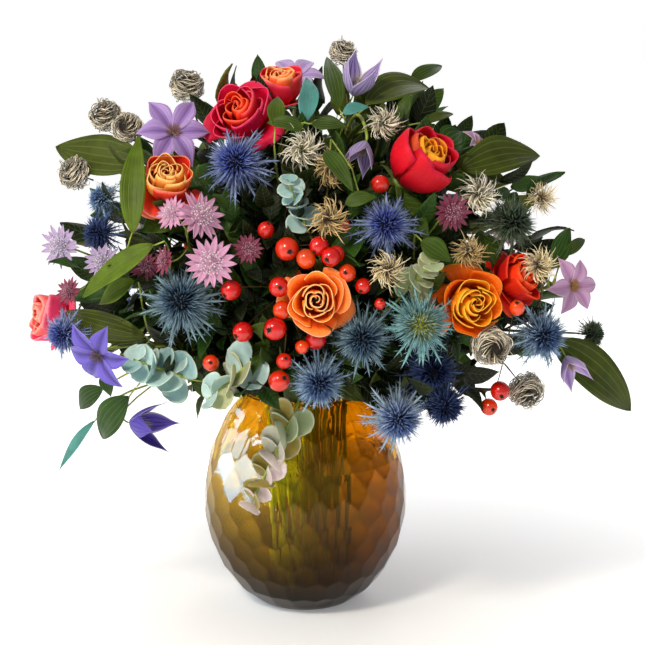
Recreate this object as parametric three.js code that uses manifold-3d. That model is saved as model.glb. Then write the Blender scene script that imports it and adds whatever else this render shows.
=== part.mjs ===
// A hand-tied flower centrepiece standing in a honeycomb-cut amber glass vase.
//
// Units are millimetres and +Z is up. The origin is the centre of the vase's foot, on the table.
// The front of the bouquet faces -Y. Each flower has its head in a fixed place on a dome of flowers;
// its stem is led from there, clear of everything already placed, through the neck of the vase and
// straight down to the vase's floor, in a plain hole through the water.

import * as THREE from "three";
import { ConvexGeometry } from "three/addons/geometries/ConvexGeometry.js";
import { mergeVertices } from "three/addons/utils/BufferGeometryUtils.js";
import Module from "manifold-3d";

const wasm = await Module();
wasm.setup();

const DEG = Math.PI / 180;
const GAP = 0.3; // left between two pieces that touch

// The vase: an egg with a flat foot and a cut-off top, ground all over into six-sided facets.
const VASE = {
  radius: 102, // at its widest
  widestAt: 105, // height of the widest place
  riseAbove: 135, // half-axis of the egg above the widest place
  dropBelow: 118, // and below it
  rim: 215, // height of the rim
  wall: 5,
  floor: 8,
  columns: 24, // facets round the vase
};
const WATER_LEVEL = 150;

// The stems stand on a hexagonal grid in the neck, and the whole bundle turns on its way down.
const BUNDLE = { pitch: 13.2, radius: 47, neck: 214, turn: 50 * DEG, footShare: 0.82 };

// The front view that heads are placed in: across and up are read on a ruler that stands at the
// vase's axis, and each place then slides along the viewer's line of sight.
const VIEW = { distance: 1600, pitch: 10 * DEG, aimX: 17.5, aimZ: 285, aimUp: 288.5 };

// The flowers' outer surface, seen in that view; behind the axis it is flatter.
const DOME = { across: 15, up: 330, halfWidth: 300, halfHeight: 225, depth: 200, backDepth: 165 };

const COLOURS = {
  glass: [0x8a5a14, 0.08, 0],
  water: [0x9a8a52, 0.05, 0],
  leaf: [0x47631f, 0.55, 0],
  rosered: [0xd4233a, 0.5, 0],
  roseorange: [0xf4742a, 0.5, 0],
  rosepink: [0xe8507a, 0.5, 0],
  thistle: [0x3f5a8c, 0.6, 0],
  clematis: [0xa58cd0, 0.5, 0],
  seedhead: [0xcdbb8c, 0.8, 0],
  astrantia: [0xc788b0, 0.65, 0],
  hip: [0xdc3a14, 0.2, 0],
  eucalyptus: [0x9dc0b0, 0.6, 0],
};

// ---- the flowers ---------------------------------------------------------------------------
// head: [across, up, lift off the dome, turn, tilt, radius]. Turn is where it faces, in degrees to
// the right of the viewer; past 90 it is on the back of the bouquet. Tilt is upwards.
// leaf: [base across, up, lift, tip across, up, lift, width, roll about its length in degrees].

const ROSES = [
  { name: "rose_centre", colour: "roseorange", head: [11, 311, 0, 0, 6, 28], open: 1, leaves: [] },
  {
    name: "rose_low_right", colour: "roseorange", head: [166, 308, 0, 18, 4, 28.5], open: 0.9,
    leaves: [[176, 380, -32, 183, 338, -22, 24, 0]],
  },
  {
    name: "rose_right", colour: "rosered", head: [115, 449, 6, 50, 40, 33], open: 0.35,
    leaves: [[92, 418, -35, 124, 372, -12, 22, 0]],
  },
  {
    name: "rose_upper_left", colour: "roseorange", head: [-138, 430, 4, 6, 42, 25], open: 0.5,
    leaves: [[-128, 392, -30, -162, 378, -8, 26, 0]],
  },
  {
    name: "rose_top_left", colour: "rosepink", head: [-63, 496, 0, -22, 34, 30], open: 0.7,
    leaves: [],
  },
  {
    name: "rose_top_centre", colour: "roseorange", head: [-25, 524, -22, 0, 66, 24], open: 0.4,
    leaves: [],
  },
  {
    name: "rose_far_left", colour: "rosepink", head: [-254, 294, -24, -66, 14, 26], open: 0.5,
    leaves: [[-96, 212, -54, -100, 266, -48, 22, 0]],
  },
  {
    name: "rose_far_right", colour: "rosered", head: [212, 332, -14, 52, 30, 24], open: 0.6,
    leaves: [],
  },
  {
    name: "rose_back_left", colour: "roseorange", head: [-95, 360, 0, 205, 18, 30], open: 0.9, back: true,
    leaves: [[-60, 300, -10, -110, 285, 6, 26, 0]],
  },
  {
    name: "rose_back_right", colour: "rosered", head: [120, 395, 0, 150, 24, 32], open: 0.7, back: true,
    leaves: [[160, 340, -10, 205, 330, 4, 26, 0]],
  },
];

const THISTLES = [
  {
    name: "thistle_left",
    heads: [[-206, 378, 4, -60, 8, 18], [-203, 412, 8, -62, 22, 15], [-241, 277, 28, -35, -5, 19]],
  },
  {
    name: "thistle_left_centre",
    heads: [[-124, 309, 0, -12, 24, 29], [-69, 448, 6, -10, 22, 27]],
  },
  {
    name: "thistle_right_top",
    heads: [[207, 389, -8, 42, 26, 24], [81, 386, 2, 4, 16, 24]],
  },
  {
    name: "thistle_centre_low",
    heads: [[57, 272, -4, 4, -6, 25], [14, 228, 0, 0, -14, 23], [93, 192, 4, 12, -16, 25]],
  },
  {
    name: "thistle_right_low",
    heads: [[238, 275, 16, 28, -2, 24], [116, 286, 10, 10, 4, 27], [128, 240, -26, 20, -18, 24],
      [140, 205, -8, 30, -32, 21], [288, 277, -10, 74, 0, 14]],
  },
  {
    name: "thistle_back",
    heads: [[10, 430, 0, 178, 30, 27], [-190, 300, 0, 226, 8, 26], [60, 285, 2, 172, 4, 27]],
  },
];

const SEEDHEADS = [
  {
    name: "seedhead_left",
    heads: [[-118, 525, -30, -20, 60, 16], [-199, 495, -10, -40, 40, 15], [-177, 483, 12, -20, 30, 14],
      [-230, 438, 10, -60, 24, 15]],
  },
  {
    name: "seedhead_centre",
    heads: [[26, 442, -6, 8, 14, 18], [-2, 461, 8, -4, 24, 19], [24, 392, 10, 10, 10, 18]],
  },
  {
    name: "seedhead_top_right",
    heads: [[79, 488, 10, 8, 34, 16.5], [83, 341, 12, 0, 0, 16.5], [38, 558, -24, 0, 70, 13]],
  },
  {
    name: "seedhead_right",
    heads: [[234, 345, 28, -10, 50, 17], [236, 412, -2, 50, 34, 15], [173, 416, 6, 26, 22, 19],
      [164, 358, -8, 16, 10, 15.5], [186, 265, 10, 20, -10, 16.5], [221, 221, 0, 34, -30, 16]],
  },
  {
    name: "seedhead_back",
    heads: [[-20, 330, 4, 184, 10, 18], [-60, 470, 0, 196, 40, 18], [180, 300, 0, 136, 6, 19]],
  },
];

// Clematis blooms open flat, hang as bells or stand as bells. Their leafy stems are pieces apart.
const VINES = [
  {
    name: "vine_left_top",
    blooms: [
      { name: "clematis_left_top", form: "disc", head: [-132, 478, 4, 12, 28, 38] },
    ],
    leaves: [[-160, 448, -28, -242, 460, -24, 36, -16], [-172, 378, 24, -164, 472, 36, 20, 30]],
  },
  {
    name: "vine_left_low",
    blooms: [
      { name: "clematis_left_low", form: "disc", head: [-206, 257, 30, -28, -22, 37] },
      { name: "clematis_left_bell", form: "bell", head: [-172, 188, 4, 64, 0, 38] },
    ],
    leaves: [[-152, 366, 20, -221, 313, 28, 20, 10], [-170, 330, 2, -204, 306, 2, 18, 20],
      [-160, 275, -12, -243, 299, -8, 24, -10], [-200, 240, -10, -193, 215, -2, 14, 0],
      [-176, 214, -8, -206, 172, 6, 26, 0], [-202, 222, -10, -225, 203, 4, 18, 0],
      [-211, 190, -6, -243, 139, 4, 10, 0]],
  },
  {
    name: "vine_top",
    blooms: [
      { name: "clematis_peak", form: "disc", head: [-10, 532, -80, 0, 60, 36] },
      { name: "clematis_top_bell", form: "bell", head: [49, 519, 4, 30, 58, 37] },
    ],
    leaves: [[-30, 484, 24, -27, 512, 22, 14, 20], [34, 502, 2, 22, 545, -6, 16, 0],
      [0, 489, 10, 2, 528, 8, 16, 0], [-2, 482, 22, -38, 489, 26, 14, 0],
      [7, 487, 14, 43, 482, 20, 14, 0], [38, 498, 12, 64, 503, 16, 11, 0],
      [20, 460, 20, 48, 420, 26, 15, 0], [40, 407, 16, 72, 414, 22, 12, 0]],
  },
  {
    name: "vine_right_top",
    blooms: [
      { name: "clematis_right_bell", form: "bell", head: [60, 467, -4, -30, -52, 27] },
      { name: "clematis_right_peak", form: "disc", head: [172, 466, -16, 60, 40, 19] },
    ],
    leaves: [[62, 506, -4, 127, 524, -6, 33, -10], [106, 530, -14, 137, 545, -20, 15, 0],
      [156, 442, -4, 234, 454, 4, 32, 10], [138, 466, 0, 156, 478, -2, 22, 0],
      [118, 488, 0, 149, 498, 4, 9, 0]],
  },
  {
    name: "vine_right",
    blooms: [
      { name: "clematis_far_right", form: "disc", head: [267, 325, 8, 30, 10, 30] },
      { name: "clematis_right_low", form: "bell", head: [262, 252, 18, 26, -44, 26.5] },
    ],
    leaves: [[248, 270, -30, 327, 200, -6, 38, 12], [246, 346, -4, 262, 382, -4, 18, 0],
      [258, 356, 2, 280, 372, 6, 10, 0],       [116, 370, 8, 146, 350, 12, 18, 0]],
  },
  {
    name: "vine_back",
    back: true,
    blooms: [{ name: "clematis_back", form: "disc", head: [10, 370, 6, 180, 16, 40] }],
    leaves: [[-120, 420, -4, -170, 440, 6, 34, 0], [-150, 330, -4, -215, 345, 6, 32, 0],
      [70, 322, -6, 120, 300, 4, 32, 0], [150, 430, -4, 205, 425, 6, 32, 0],
      [-20, 260, -4, -80, 225, 8, 34, 0], [120, 260, -4, 175, 235, 8, 34, 0],
      [40, 490, -6, 90, 500, 4, 30, 0]],
  },
];

const ASTRANTIAS = [
  {
    name: "astrantia_centre",
    heads: [[-106, 394, 8, 34, 22, 20], [-94, 348, 14, 0, 10, 20], [-132, 397, 4, -30, 20, 14],
      [-139, 350, 12, -50, 10, 12], [-57, 362, 0, 10, 8, 12]],
  },
  {
    name: "astrantia_left",
    heads: [[-243, 365, 2, -24, 10, 18], [-202, 349, 12, -4, 8, 15], [-160, 345, -4, 6, 6, 12],
      [-235, 319, 6, -30, 20, 12], [-160, 390, 0, 216, 20, 17]],
  },
  {
    name: "astrantia_right",
    heads: [[146, 399, 0, 20, 0, 16], [88, 352, 6, 160, 12, 18], [196, 380, 0, 140, 16, 17]],
  },
];

const HIPS = [
  {
    name: "hips_centre",
    heads: [[-18, 362, -2, 0, 0, 10.5], [1, 352, 2, 0, 0, 8.5], [14, 365, 2, 0, 0, 8.5],
      [31, 357, 0, 0, 0, 7.5], [26, 354, 8, 0, 0, 8.5], [42, 338, 0, 0, 0, 8],
      [58, 325, -2, 0, 0, 7], [-39, 381, -10, 0, 0, 7.5], [-15, 426, -14, 0, 0, 8],
      [75, 427, 2, 0, 0, 8], [40, 385, -12, 0, 0, 5]],
  },
  {
    name: "hips_left",
    heads: [[-26, 324, 2, 0, 0, 9], [-23, 301, 0, 0, 0, 8], [-30, 282, 6, 0, 0, 10],
      [-62, 279, 0, 0, 0, 9], [-74, 321, 0, 0, 0, 9], [-94, 248, -8, 0, 0, 7.5],
      [-21, 250, 4, 0, 0, 7], [-26, 230, 4, 0, 0, 9.5], [-3, 264, 0, 0, 0, 6], [11, 272, -6, 0, 0, 9]],
  },
  {
    name: "hips_right",
    heads: [[195, 220, 2, 0, 0, 9], [184, 204, -2, 0, 0, 8], [212, 303, 18, 0, 0, 7],
      [75, 307, 2, 0, 0, 5], [152, 345, 0, 150, 0, 9], [168, 322, 4, 150, 0, 9],
      [-30, 400, 0, 190, 0, 9]],
  },
];

// Eucalyptus: [across, up, lift] of the sprig's foot and tip, with the leaves paired along it.
const EUCALYPTUS = [
  { name: "eucalyptus_centre", foot: [2, 382, -22], tip: [-18, 432, 14], size: 19, pairs: 3, spin: 62 },
  { name: "eucalyptus_left", foot: [-116, 232, -18], tip: [-172, 252, 14], size: 26, pairs: 3, spin: 62 },
  { name: "eucalyptus_low", foot: [-50, 252, -14], tip: [-96, 212, 14], size: 25, pairs: 3, spin: 62 },
  { name: "eucalyptus_right", foot: [100, 318, -16], tip: [128, 350, 16], size: 22, pairs: 2, spin: 62 },
  { name: "eucalyptus_drooping", foot: [-8, 204, -63], tip: [-54, 106, 44], size: 22, pairs: 4, spin: 0 },
];

// ---- small tools ---------------------------------------------------------------------------

const vec = (x, y, z) => new THREE.Vector3(x, y, z);
const lerp = (a, b, t) => a + (b - a) * t;
const mean = (points) => points.reduce((sum, p) => sum.add(p), vec(0, 0, 0)).divideScalar(points.length);
const polar = (r, degrees, z) => vec(r * Math.cos(degrees * DEG), r * Math.sin(degrees * DEG), z);
const upTo = (count) => Array.from({ length: count }, (_, i) => i);

function randomFrom(seed) {
  let state = seed;
  return () => {
    state = (Math.imul(state, 1664525) + 1013904223) >>> 0;
    return state / 2 ** 32;
  };
}

// A list of points, and ways to add one or more to it that give their numbers.
function pointList() {
  const points = [];
  const add = (point) => points.push(point) - 1;
  return { points, add, addAll: (more) => more.map(add) };
}

// Triangles between two loops of points that run the same way round, each given by their numbers.
// wall: corner to corner. braid: each corner of the second faces a side of the first.
// zip: the first loop lies inside the second and has fewer points.
const following = (loop, i) => loop[(i + 1) % loop.length];
const wall = (from, to) => from.flatMap((a, i) =>
  [[a, following(from, i), following(to, i)], [a, following(to, i), to[i]]]);
const braid = (from, to) => from.flatMap((a, i) =>
  [[a, following(from, i), to[i]], [to[i], following(from, i), following(to, i)]]);
const zip = (inner, outer) => outer.flatMap((a, i) => {
  const at = Math.floor((i * inner.length) / outer.length);
  const then = Math.floor(((i + 1) * inner.length) / outer.length) % inner.length;
  const side = [inner[at], a, following(outer, i)];
  return at === then ? [side] : [side, [inner[at], following(outer, i), inner[then]]];
});
const fan = (loop, middle) => loop.map((a, i) => [a, following(loop, i), middle]);
const lid = (loop) => loop.slice(2).map((a, i) => [loop[0], loop[i + 1], a]);
const backwards = (loop) => loop.slice().reverse();

// A closed skin of triangles.
const skin = (points, triangles) =>
  new THREE.BufferGeometry().setFromPoints(points).setIndex(triangles.flat());

// One of three.js's own closed shapes as such a skin, its seams joined.
function seamless(geometry) {
  geometry.deleteAttribute("normal").deleteAttribute("uv");
  const merged = mergeVertices(geometry, 1e-3);
  const index = Array.from(merged.index.array);
  const triangles = index.flatMap((_, i) => (i % 3 ? [] : [index.slice(i, i + 3)]));
  merged.setIndex(triangles.filter(([a, b, c]) => a !== b && b !== c && c !== a).flat());
  return merged;
}

const solid = (geometry) => new wasm.Manifold(new wasm.Mesh({
  numProp: 3,
  vertProperties: new Float32Array(geometry.getAttribute("position").array),
  triVerts: new Uint32Array(geometry.index.array),
}));

const fuse = (geometries) => geometries.map(solid).reduce((whole, next) => whole.add(next));

// The placing of a flower made along +Z: where it stands and the way it faces.
function placing({ at, way }) {
  const sideways = Math.abs(way.z) > 0.95 ? vec(1, 0, 0) : vec(0, 0, 1).cross(way).normalize();
  const upright = way.clone().cross(sideways).normalize();
  return new THREE.Matrix4().makeBasis(upright.clone().cross(way), upright, way).setPosition(at);
}

// The points of a path that it needs to stay within a slack of its full course.
function fewer(points, slack) {
  const line = new THREE.Line3(points[0], points.at(-1));
  const off = points.map((p) => line.closestPointToPoint(p, true, vec(0, 0, 0)).distanceTo(p));
  const worst = off.indexOf(Math.max(...off));
  if (off[worst] <= slack) return [points[0], points.at(-1)];
  return [...fewer(points.slice(0, worst + 1), slack), ...fewer(points.slice(worst), slack).slice(1)];
}

// A skin over rings of the same number of points. Each end is flat, or drawn in to a given point.
function loft(rings, tip, root) {
  const { points, add, addAll } = pointList();
  const loops = rings.map(addAll);
  const sides = loops.slice(1).flatMap((loop, i) => wall(loops[i], loop));
  const close = (loop, point) => (point ? fan(loop, add(point)) : lid(loop));
  return skin(points, [...sides, ...close(loops.at(-1), tip), ...close(backwards(loops[0]), root)]);
}

// A stem with its head in one skin. The head is made along +Z, and its triangles leave open a loop,
// the socket, at its back. The path leads from there to the stem's other end, which comes to a point
// where it is rooted in another stem.
function stalked({ points: made, triangles, socket }, place, path, startRadius, endRadius, rooted) {
  const { points, add, addAll } = pointList();
  addAll(made.map((point) => point.clone().applyMatrix4(place)));
  const start = mean(socket.map((i) => points[i]));
  const side = points[socket[0]].clone().sub(start);
  const loops = [socket];
  path.slice(0, rooted ? -1 : undefined).forEach((centre, i) => {
    const way = (path[i + 1] ?? centre).clone().sub(path[i - 1] ?? start).normalize();
    side.addScaledVector(way, -side.dot(way)).normalize();
    const other = way.clone().cross(side);
    const radius = lerp(startRadius, endRadius, i / Math.max(1, path.length - 1));
    loops.push(addAll(socket.map((_, k) => {
      const angle = (2 * Math.PI * k) / socket.length;
      return centre.clone().addScaledVector(side, radius * Math.cos(angle))
        .addScaledVector(other, radius * Math.sin(angle));
    })));
  });
  const sides = loops.slice(1).flatMap((loop, i) => wall(loops[i], loop));
  const end = rooted ? fan(loops.at(-1), add(path.at(-1))) : lid(loops.at(-1));
  if (!rooted) holes.push(holeRound(loops.slice(-2).map((loop) => loop.map((i) => points[i]))));
  return skin(points, [...triangles, ...sides, ...end]);
}

// The holes that stems stand in, to be cut in the water: each is the ring at a stem's foot, made
// wider and led straight up and down the way that the stem goes from the neck to its foot.
const holes = [];
function holeRound([neckRing, footRing]) {
  const [neck, foot] = [mean(neckRing), mean(footRing)];
  const toFlat = Math.cos(Math.PI / footRing.length); // a side's distance, as a share of a corner's
  const wider = footRing.map((point) => {
    const out = point.clone().sub(foot);
    return out.setLength(out.length() + (1.3 * GAP) / toFlat);
  });
  return loft([0.85, -0.05].map((share) => wider.map((out) => foot.clone().lerp(neck, share).add(out))));
}

// The plain flat end of a stem, as a head to give it.
function cutEnd(radius, sides) {
  const points = upTo(sides).map((k) => polar(radius, (-360 * k) / sides, 0));
  const socket = upTo(sides);
  return { points, triangles: lid(backwards(socket)), socket };
}

// Half-width of a blade, as shares of its greatest, at stations along it; each ends in a point.
const OUTLINES = {
  leaf: [[0, 0.12], [0.22, 0.82], [0.5, 1], [0.78, 0.6]],
  round: [[0.06, 0.4], [0.38, 1], [0.78, 0.84]],
};

// A thin blade from base to tip, thickest on its rib, bowed towards its face and folded along the
// rib. The stalk, if any, is the points that lead to its base, and the root the point it starts from.
function blade({ base, tip, face, width }, { outline, arch, fold, thick }, root, stalk = []) {
  const way = tip.clone().sub(base);
  const length = way.length();
  const out = face.clone().addScaledVector(way, -face.dot(way) / length ** 2).normalize();
  const side = out.clone().cross(way).normalize();
  const rings = OUTLINES[outline].map(([t, share]) => {
    const half = (share * width) / 2;
    const rib = base.clone().addScaledVector(way, t).addScaledVector(out, 4 * t * (1 - t) * arch * length);
    const at = (across, lift) => rib.clone().addScaledVector(side, across).addScaledVector(out, lift);
    return [at(-half, fold * half), at(0, -thick / 2), at(half, fold * half), at(0, thick / 2)];
  });
  backwards(stalk).forEach((point, i) => {
    const ahead = (i ? stalk[stalk.length - i] : base).clone().sub(point).normalize();
    side.addScaledVector(ahead, -side.dot(ahead)).normalize();
    const lift = ahead.clone().cross(side);
    const at = (across, up) => point.clone().addScaledVector(side, across).addScaledVector(lift, up);
    rings.unshift([at(-thick, 0), at(0, -thick), at(thick, 0), at(0, thick)]);
  });
  return loft(rings, tip, root);
}

// ---- places in the front view --------------------------------------------------------------

function seen(across, up, forward) {
  const share = 1 - forward / VIEW.distance;
  const aside = (across - VIEW.aimX) * share;
  const above = (up - VIEW.aimUp) * share;
  const sin = Math.sin(VIEW.pitch);
  const cos = Math.cos(VIEW.pitch);
  return vec(VIEW.aimX + aside, above * sin - forward * cos, VIEW.aimZ + above * cos + forward * sin);
}

function onDome(across, up, lift, back) {
  const off = ((across - DOME.across) / DOME.halfWidth) ** 2 + ((up - DOME.up) / DOME.halfHeight) ** 2;
  const share = Math.sqrt(Math.max(0.05, 1 - off));
  return seen(across, up, back ? -DOME.backDepth * share - lift : DOME.depth * share + lift);
}

// Leaves lie flat on the dome: they face away from a place in the bouquet's heart.
const HEART = seen(DOME.across, DOME.up - 60, 0);

function facing(turn, tilt) {
  const flat = Math.cos(tilt * DEG);
  return vec(Math.sin(turn * DEG) * flat, -Math.cos(turn * DEG) * flat, Math.sin(tilt * DEG));
}

// ---- the vase and its water ----------------------------------------------------------------

const eggRadius = (z) => {
  const half = z > VASE.widestAt ? VASE.riseAbove : VASE.dropBelow;
  return VASE.radius * Math.sqrt(1 - ((z - VASE.widestAt) / half) ** 2);
};

// Rows of facets, a row's height apart wherever it is, so that each facet stays a regular hexagon.
function facetRows() {
  const step = ((2 * Math.PI) / VASE.columns) * Math.cos(30 * DEG);
  const slope = (z) => (eggRadius(z + 0.01) - eggRadius(z - 0.01)) / 0.02;
  const walk = (way, end) => {
    const rows = [];
    let gone = 0;
    for (let z = VASE.widestAt; way * (end - z) > 0; z += way * 0.1) {
      gone += (Math.hypot(1, slope(z)) / eggRadius(z)) * 0.1;
      if (gone >= step * (rows.length + 1)) rows.push(z);
    }
    return rows;
  };
  const heights = [...backwards(walk(-1, 4)), VASE.widestAt, ...walk(1, VASE.rim - 4)];
  return heights.map((z) => {
    const normal = new THREE.Vector2(1, -slope(z)).normalize();
    return { r: normal.x, z: normal.y, d: normal.x * eggRadius(z) + normal.y * z };
  });
}

// Each facet is a flat on the egg; three neighbours meet in each corner.
function honeycomb() {
  const rows = facetRows();
  const narrow = Math.cos(Math.PI / VASE.columns);
  const meet = (own, other) => {
    const flat = own.r * narrow * other.z - own.z * other.r;
    return [(own.d * other.z - own.z * other.d) / flat, (own.r * narrow * other.d - own.d * other.r) / flat];
  };
  const level = (row, z) => [(row.d - row.z * z) / (row.r * narrow), z];
  const last = rows.length - 1;
  const upper = rows.map((row, k) => (k < last ? meet(row, rows[k + 1]) : level(row, VASE.rim + 20)));
  const lower = rows.map((row, k) => (k > 0 ? meet(row, rows[k - 1]) : level(row, -10)));
  const { points, add } = pointList();
  const corners = new Map();
  const corner = (ring, [r, z], column) => {
    const place = (column + 2 * VASE.columns) % (2 * VASE.columns);
    const key = `${ring}/${place}`;
    if (!corners.has(key)) corners.set(key, add(polar(r, (place * 180) / VASE.columns, z)));
    return corners.get(key);
  };
  const triangles = rows.flatMap((_, k) => upTo(VASE.columns).flatMap((j) => {
    const middle = 2 * j + (k % 2);
    const facet = [corner(`lower${k}`, lower[k], middle + 1), corner(`upper${k}`, upper[k], middle + 1)];
    if (k < last) facet.push(corner(`lower${k + 1}`, lower[k + 1], middle));
    facet.push(corner(`upper${k}`, upper[k], middle - 1), corner(`lower${k}`, lower[k], middle - 1));
    if (k > 0) facet.push(corner(`upper${k - 1}`, upper[k - 1], middle));
    return lid(facet);
  }));
  const ring = (name, size, shift) => upTo(VASE.columns).map((j) => corner(name, size, 2 * j + 1 + shift));
  triangles.push(...lid(ring(`upper${last}`, upper[last], last % 2)));
  triangles.push(...lid(backwards(ring("lower0", lower[0], 0))));
  return skin(points, triangles);
}

const INSIDE = [VASE.floor, 24, 50, 84, 118, WATER_LEVEL, 186, VASE.rim + 1]; // heights

// What the vase's inside holds up to a height, drawn in all round by an inset.
function filling(inset, top) {
  const profile = INSIDE.filter((z) => z <= top)
    .map((z) => new THREE.Vector2(eggRadius(z) - VASE.wall - inset, Math.max(z, VASE.floor + inset)));
  const closed = [new THREE.Vector2(0, VASE.floor + inset), ...profile, new THREE.Vector2(0, top)];
  return solid(seamless(new THREE.LatheGeometry(closed, 16).rotateX(Math.PI / 2)));
}

function vase() {
  const slab = new THREE.BoxGeometry(300, 300, VASE.rim).translate(0, 0, VASE.rim / 2);
  return solid(honeycomb()).intersect(solid(seamless(slab))).subtract(filling(0, VASE.rim + 1));
}

function water(holes) {
  return holes.map(solid).reduce((left, hole) => left.subtract(hole), filling(1.5 * GAP, WATER_LEVEL));
}

// ---- stems ---------------------------------------------------------------------------------

const slots = [];
for (let row = -5; row <= 5; row++) {
  for (let column = -6; column <= 6; column++) {
    const x = (column + (row % 2 ? 0.5 : 0)) * BUNDLE.pitch;
    const y = row * BUNDLE.pitch * Math.cos(30 * DEG);
    if (Math.hypot(x, y) < BUNDLE.radius) slots.push({ x, y, taken: false });
  }
}

// How far a plant's heads lean out from upright, from 0 to 1 for one that hangs over the rim.
const MOST_LEAN = 105 * DEG;
const leanOf = ({ x, y, z }) => Math.min(1, Math.atan2(Math.hypot(x, y), z - BUNDLE.neck) / MOST_LEAN);

// A stem takes the free place in the neck that lies nearest to where its flowers lean.
function takeSlot(target) {
  const wish = vec(target.x, target.y, 0).setLength(leanOf(target) * BUNDLE.radius);
  const off = (slot) => Math.hypot(slot.x - wish.x, slot.y - wish.y);
  const slot = slots.filter((s) => !s.taken).sort((a, b) => off(a) - off(b))[0];
  slot.taken = true;
  return slot;
}

// The straight stretch inside the vase, from a height over the vase's floor to the neck.
function bundleLine(slot, footHeight) {
  const { turn, footShare, neck } = BUNDLE;
  const foot = vec(slot.x * footShare, slot.y * footShare, VASE.floor).applyAxisAngle(vec(0, 0, 1), turn);
  const top = vec(slot.x, slot.y, neck);
  return [foot.clone().lerp(top, footHeight / (neck - VASE.floor)), top];
}

// What a stem keeps clear of: round spots with a radius, each owned by the plant it belongs to.
const spots = [];
const SPOT_STEP = 4;

function keepClear(owner, points, radius) {
  points.forEach((point, i) => {
    spots.push({ point, radius, owner });
    if (!i) return;
    const before = points[i - 1];
    const steps = Math.floor(point.distanceTo(before) / SPOT_STEP);
    for (let s = 1; s < steps; s++) {
      spots.push({ point: before.clone().lerp(point, s / steps), radius, owner });
    }
  });
}

// How badly a stem along these points would crowd what is already in place: the sum of the squares
// of what is missing from its margin, all along it.
const STEM_MARGIN = 2.4;
function crowding(owner, points, radius) {
  let sum = 0;
  const at = vec(0, 0, 0);
  points.slice(1).forEach((point, i) => {
    const steps = Math.max(1, Math.ceil(point.distanceTo(points[i]) / SPOT_STEP));
    for (let s = 1; s <= steps; s++) {
      at.lerpVectors(points[i], point, s / steps);
      for (const spot of spots) {
        if (spot.owner === owner) continue;
        sum += Math.max(0, STEM_MARGIN + spot.radius + radius - at.distanceTo(spot.point)) ** 2;
      }
    }
  });
  return sum;
}

// A bent way from a start to an end. The first of a fixed fan of bends that clears all spots is taken.
const BENDS = [0, 8, 16, 26, 38, 52, 68].flatMap((swing) =>
  swing ? [0, 45, 90, 135, 180, 225, 270, 315].map((turn) => [swing, turn * DEG]) : [[0, 0]]);

function route(owner, start, startWay, end, endWay, radius, slack) {
  const chord = end.clone().sub(start);
  const length = chord.length();
  const u = chord.clone().cross(Math.abs(chord.z) < 0.9 * length ? vec(0, 0, 1) : vec(1, 0, 0)).normalize();
  const w = chord.clone().cross(u).normalize();
  let best = null;
  for (const [swing, turn] of BENDS) {
    if (swing > length * 0.6) break;
    const shift = u.clone().multiplyScalar(swing * Math.cos(turn)).addScaledVector(w, swing * Math.sin(turn));
    const curve = new THREE.CubicBezierCurve3(
      start,
      start.clone().addScaledVector(startWay, length * 0.34).add(shift),
      end.clone().addScaledVector(endWay, -length * 0.3).add(shift),
      end,
    );
    const points = fewer(curve.getPoints(16), slack);
    const crowd = crowding(owner, points, radius);
    if (!best || crowd < best.crowd) best = { points, crowd };
    if (!crowd) break;
  }
  keepClear(owner, best.points, radius);
  return best.points;
}

// Where a branch to an end leaves a main stem: far enough back to leave it at a slant.
const FORK = { lean: 0.6, apart: 6, aboveNeck: 20 };
function fork(stem, end, taken) {
  let best = null;
  let gone = 0;
  stem.slice(1).forEach((to, i) => {
    const from = stem[i];
    const length = to.distanceTo(from);
    for (let s = i ? 3 : FORK.aboveNeck; s < length - 3; s += FORK.apart) {
      const at = from.clone().lerp(to, s / length);
      const cost = at.distanceTo(end) + FORK.lean * (gone + s);
      const clear = taken.every((place) => place.distanceTo(at) > FORK.apart - 1);
      if (clear && (!best || cost < best.cost)) best = { at, cost, way: to.clone().sub(from).normalize() };
    }
    gone += length;
  });
  taken.push(best.at);
  return best;
}

// A plant's main stem, from its first end down through the neck to the vase's floor, and a path
// from each other end down to the main stem. An end is a place, the way that a stem arrives there
// and, where its last stretch is straight, the place that this stretch starts from.
const SLACK = { trunk: 2, branch: 3 }; // how far a stem's straight pieces stray from its true curve
function grow(owner, slot, ends, trunk, branch) {
  const [foot, neck] = bundleLine(slot, 1);
  const led = (end, from, way, radius, slack) => {
    const path = route(owner, from, way, end.from ?? end.at, end.way, radius, slack);
    return end.from ? [...path, end.at] : path;
  };
  const [main, ...others] = ends;
  const stem = led(main, neck, neck.clone().sub(foot).normalize(), trunk, SLACK.trunk);
  const taken = [];
  const paths = others.map((end) => {
    const aim = end.from ?? end.at;
    const off = fork(stem, aim, taken);
    const way = aim.clone().sub(off.at).normalize().add(off.way).normalize();
    return backwards(led(end, off.at, way, branch, SLACK.branch));
  });
  return { stem: [...backwards(stem), foot], paths };
}

// ---- flower heads, each made along +Z with its middle at the origin -------------------------

// Evenly spread directions, and the triangles between them.
function spread(count) {
  const golden = 180 * (3 - Math.sqrt(5));
  const points = upTo(count).map((i) => {
    const z = 1 - (2 * (i + 0.5)) / count;
    return polar(Math.sqrt(1 - z * z), golden * i, z);
  });
  const position = new ConvexGeometry(points).getAttribute("position");
  const nearest = (k) => {
    const off = points.map((q) => q.distanceTo(vec(0, 0, 0).fromBufferAttribute(position, k)));
    return off.indexOf(Math.min(...off));
  };
  const faces = upTo(position.count / 3).map((f) => [0, 1, 2].map((k) => nearest(3 * f + k)));
  return { ways: points, faces };
}

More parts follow.
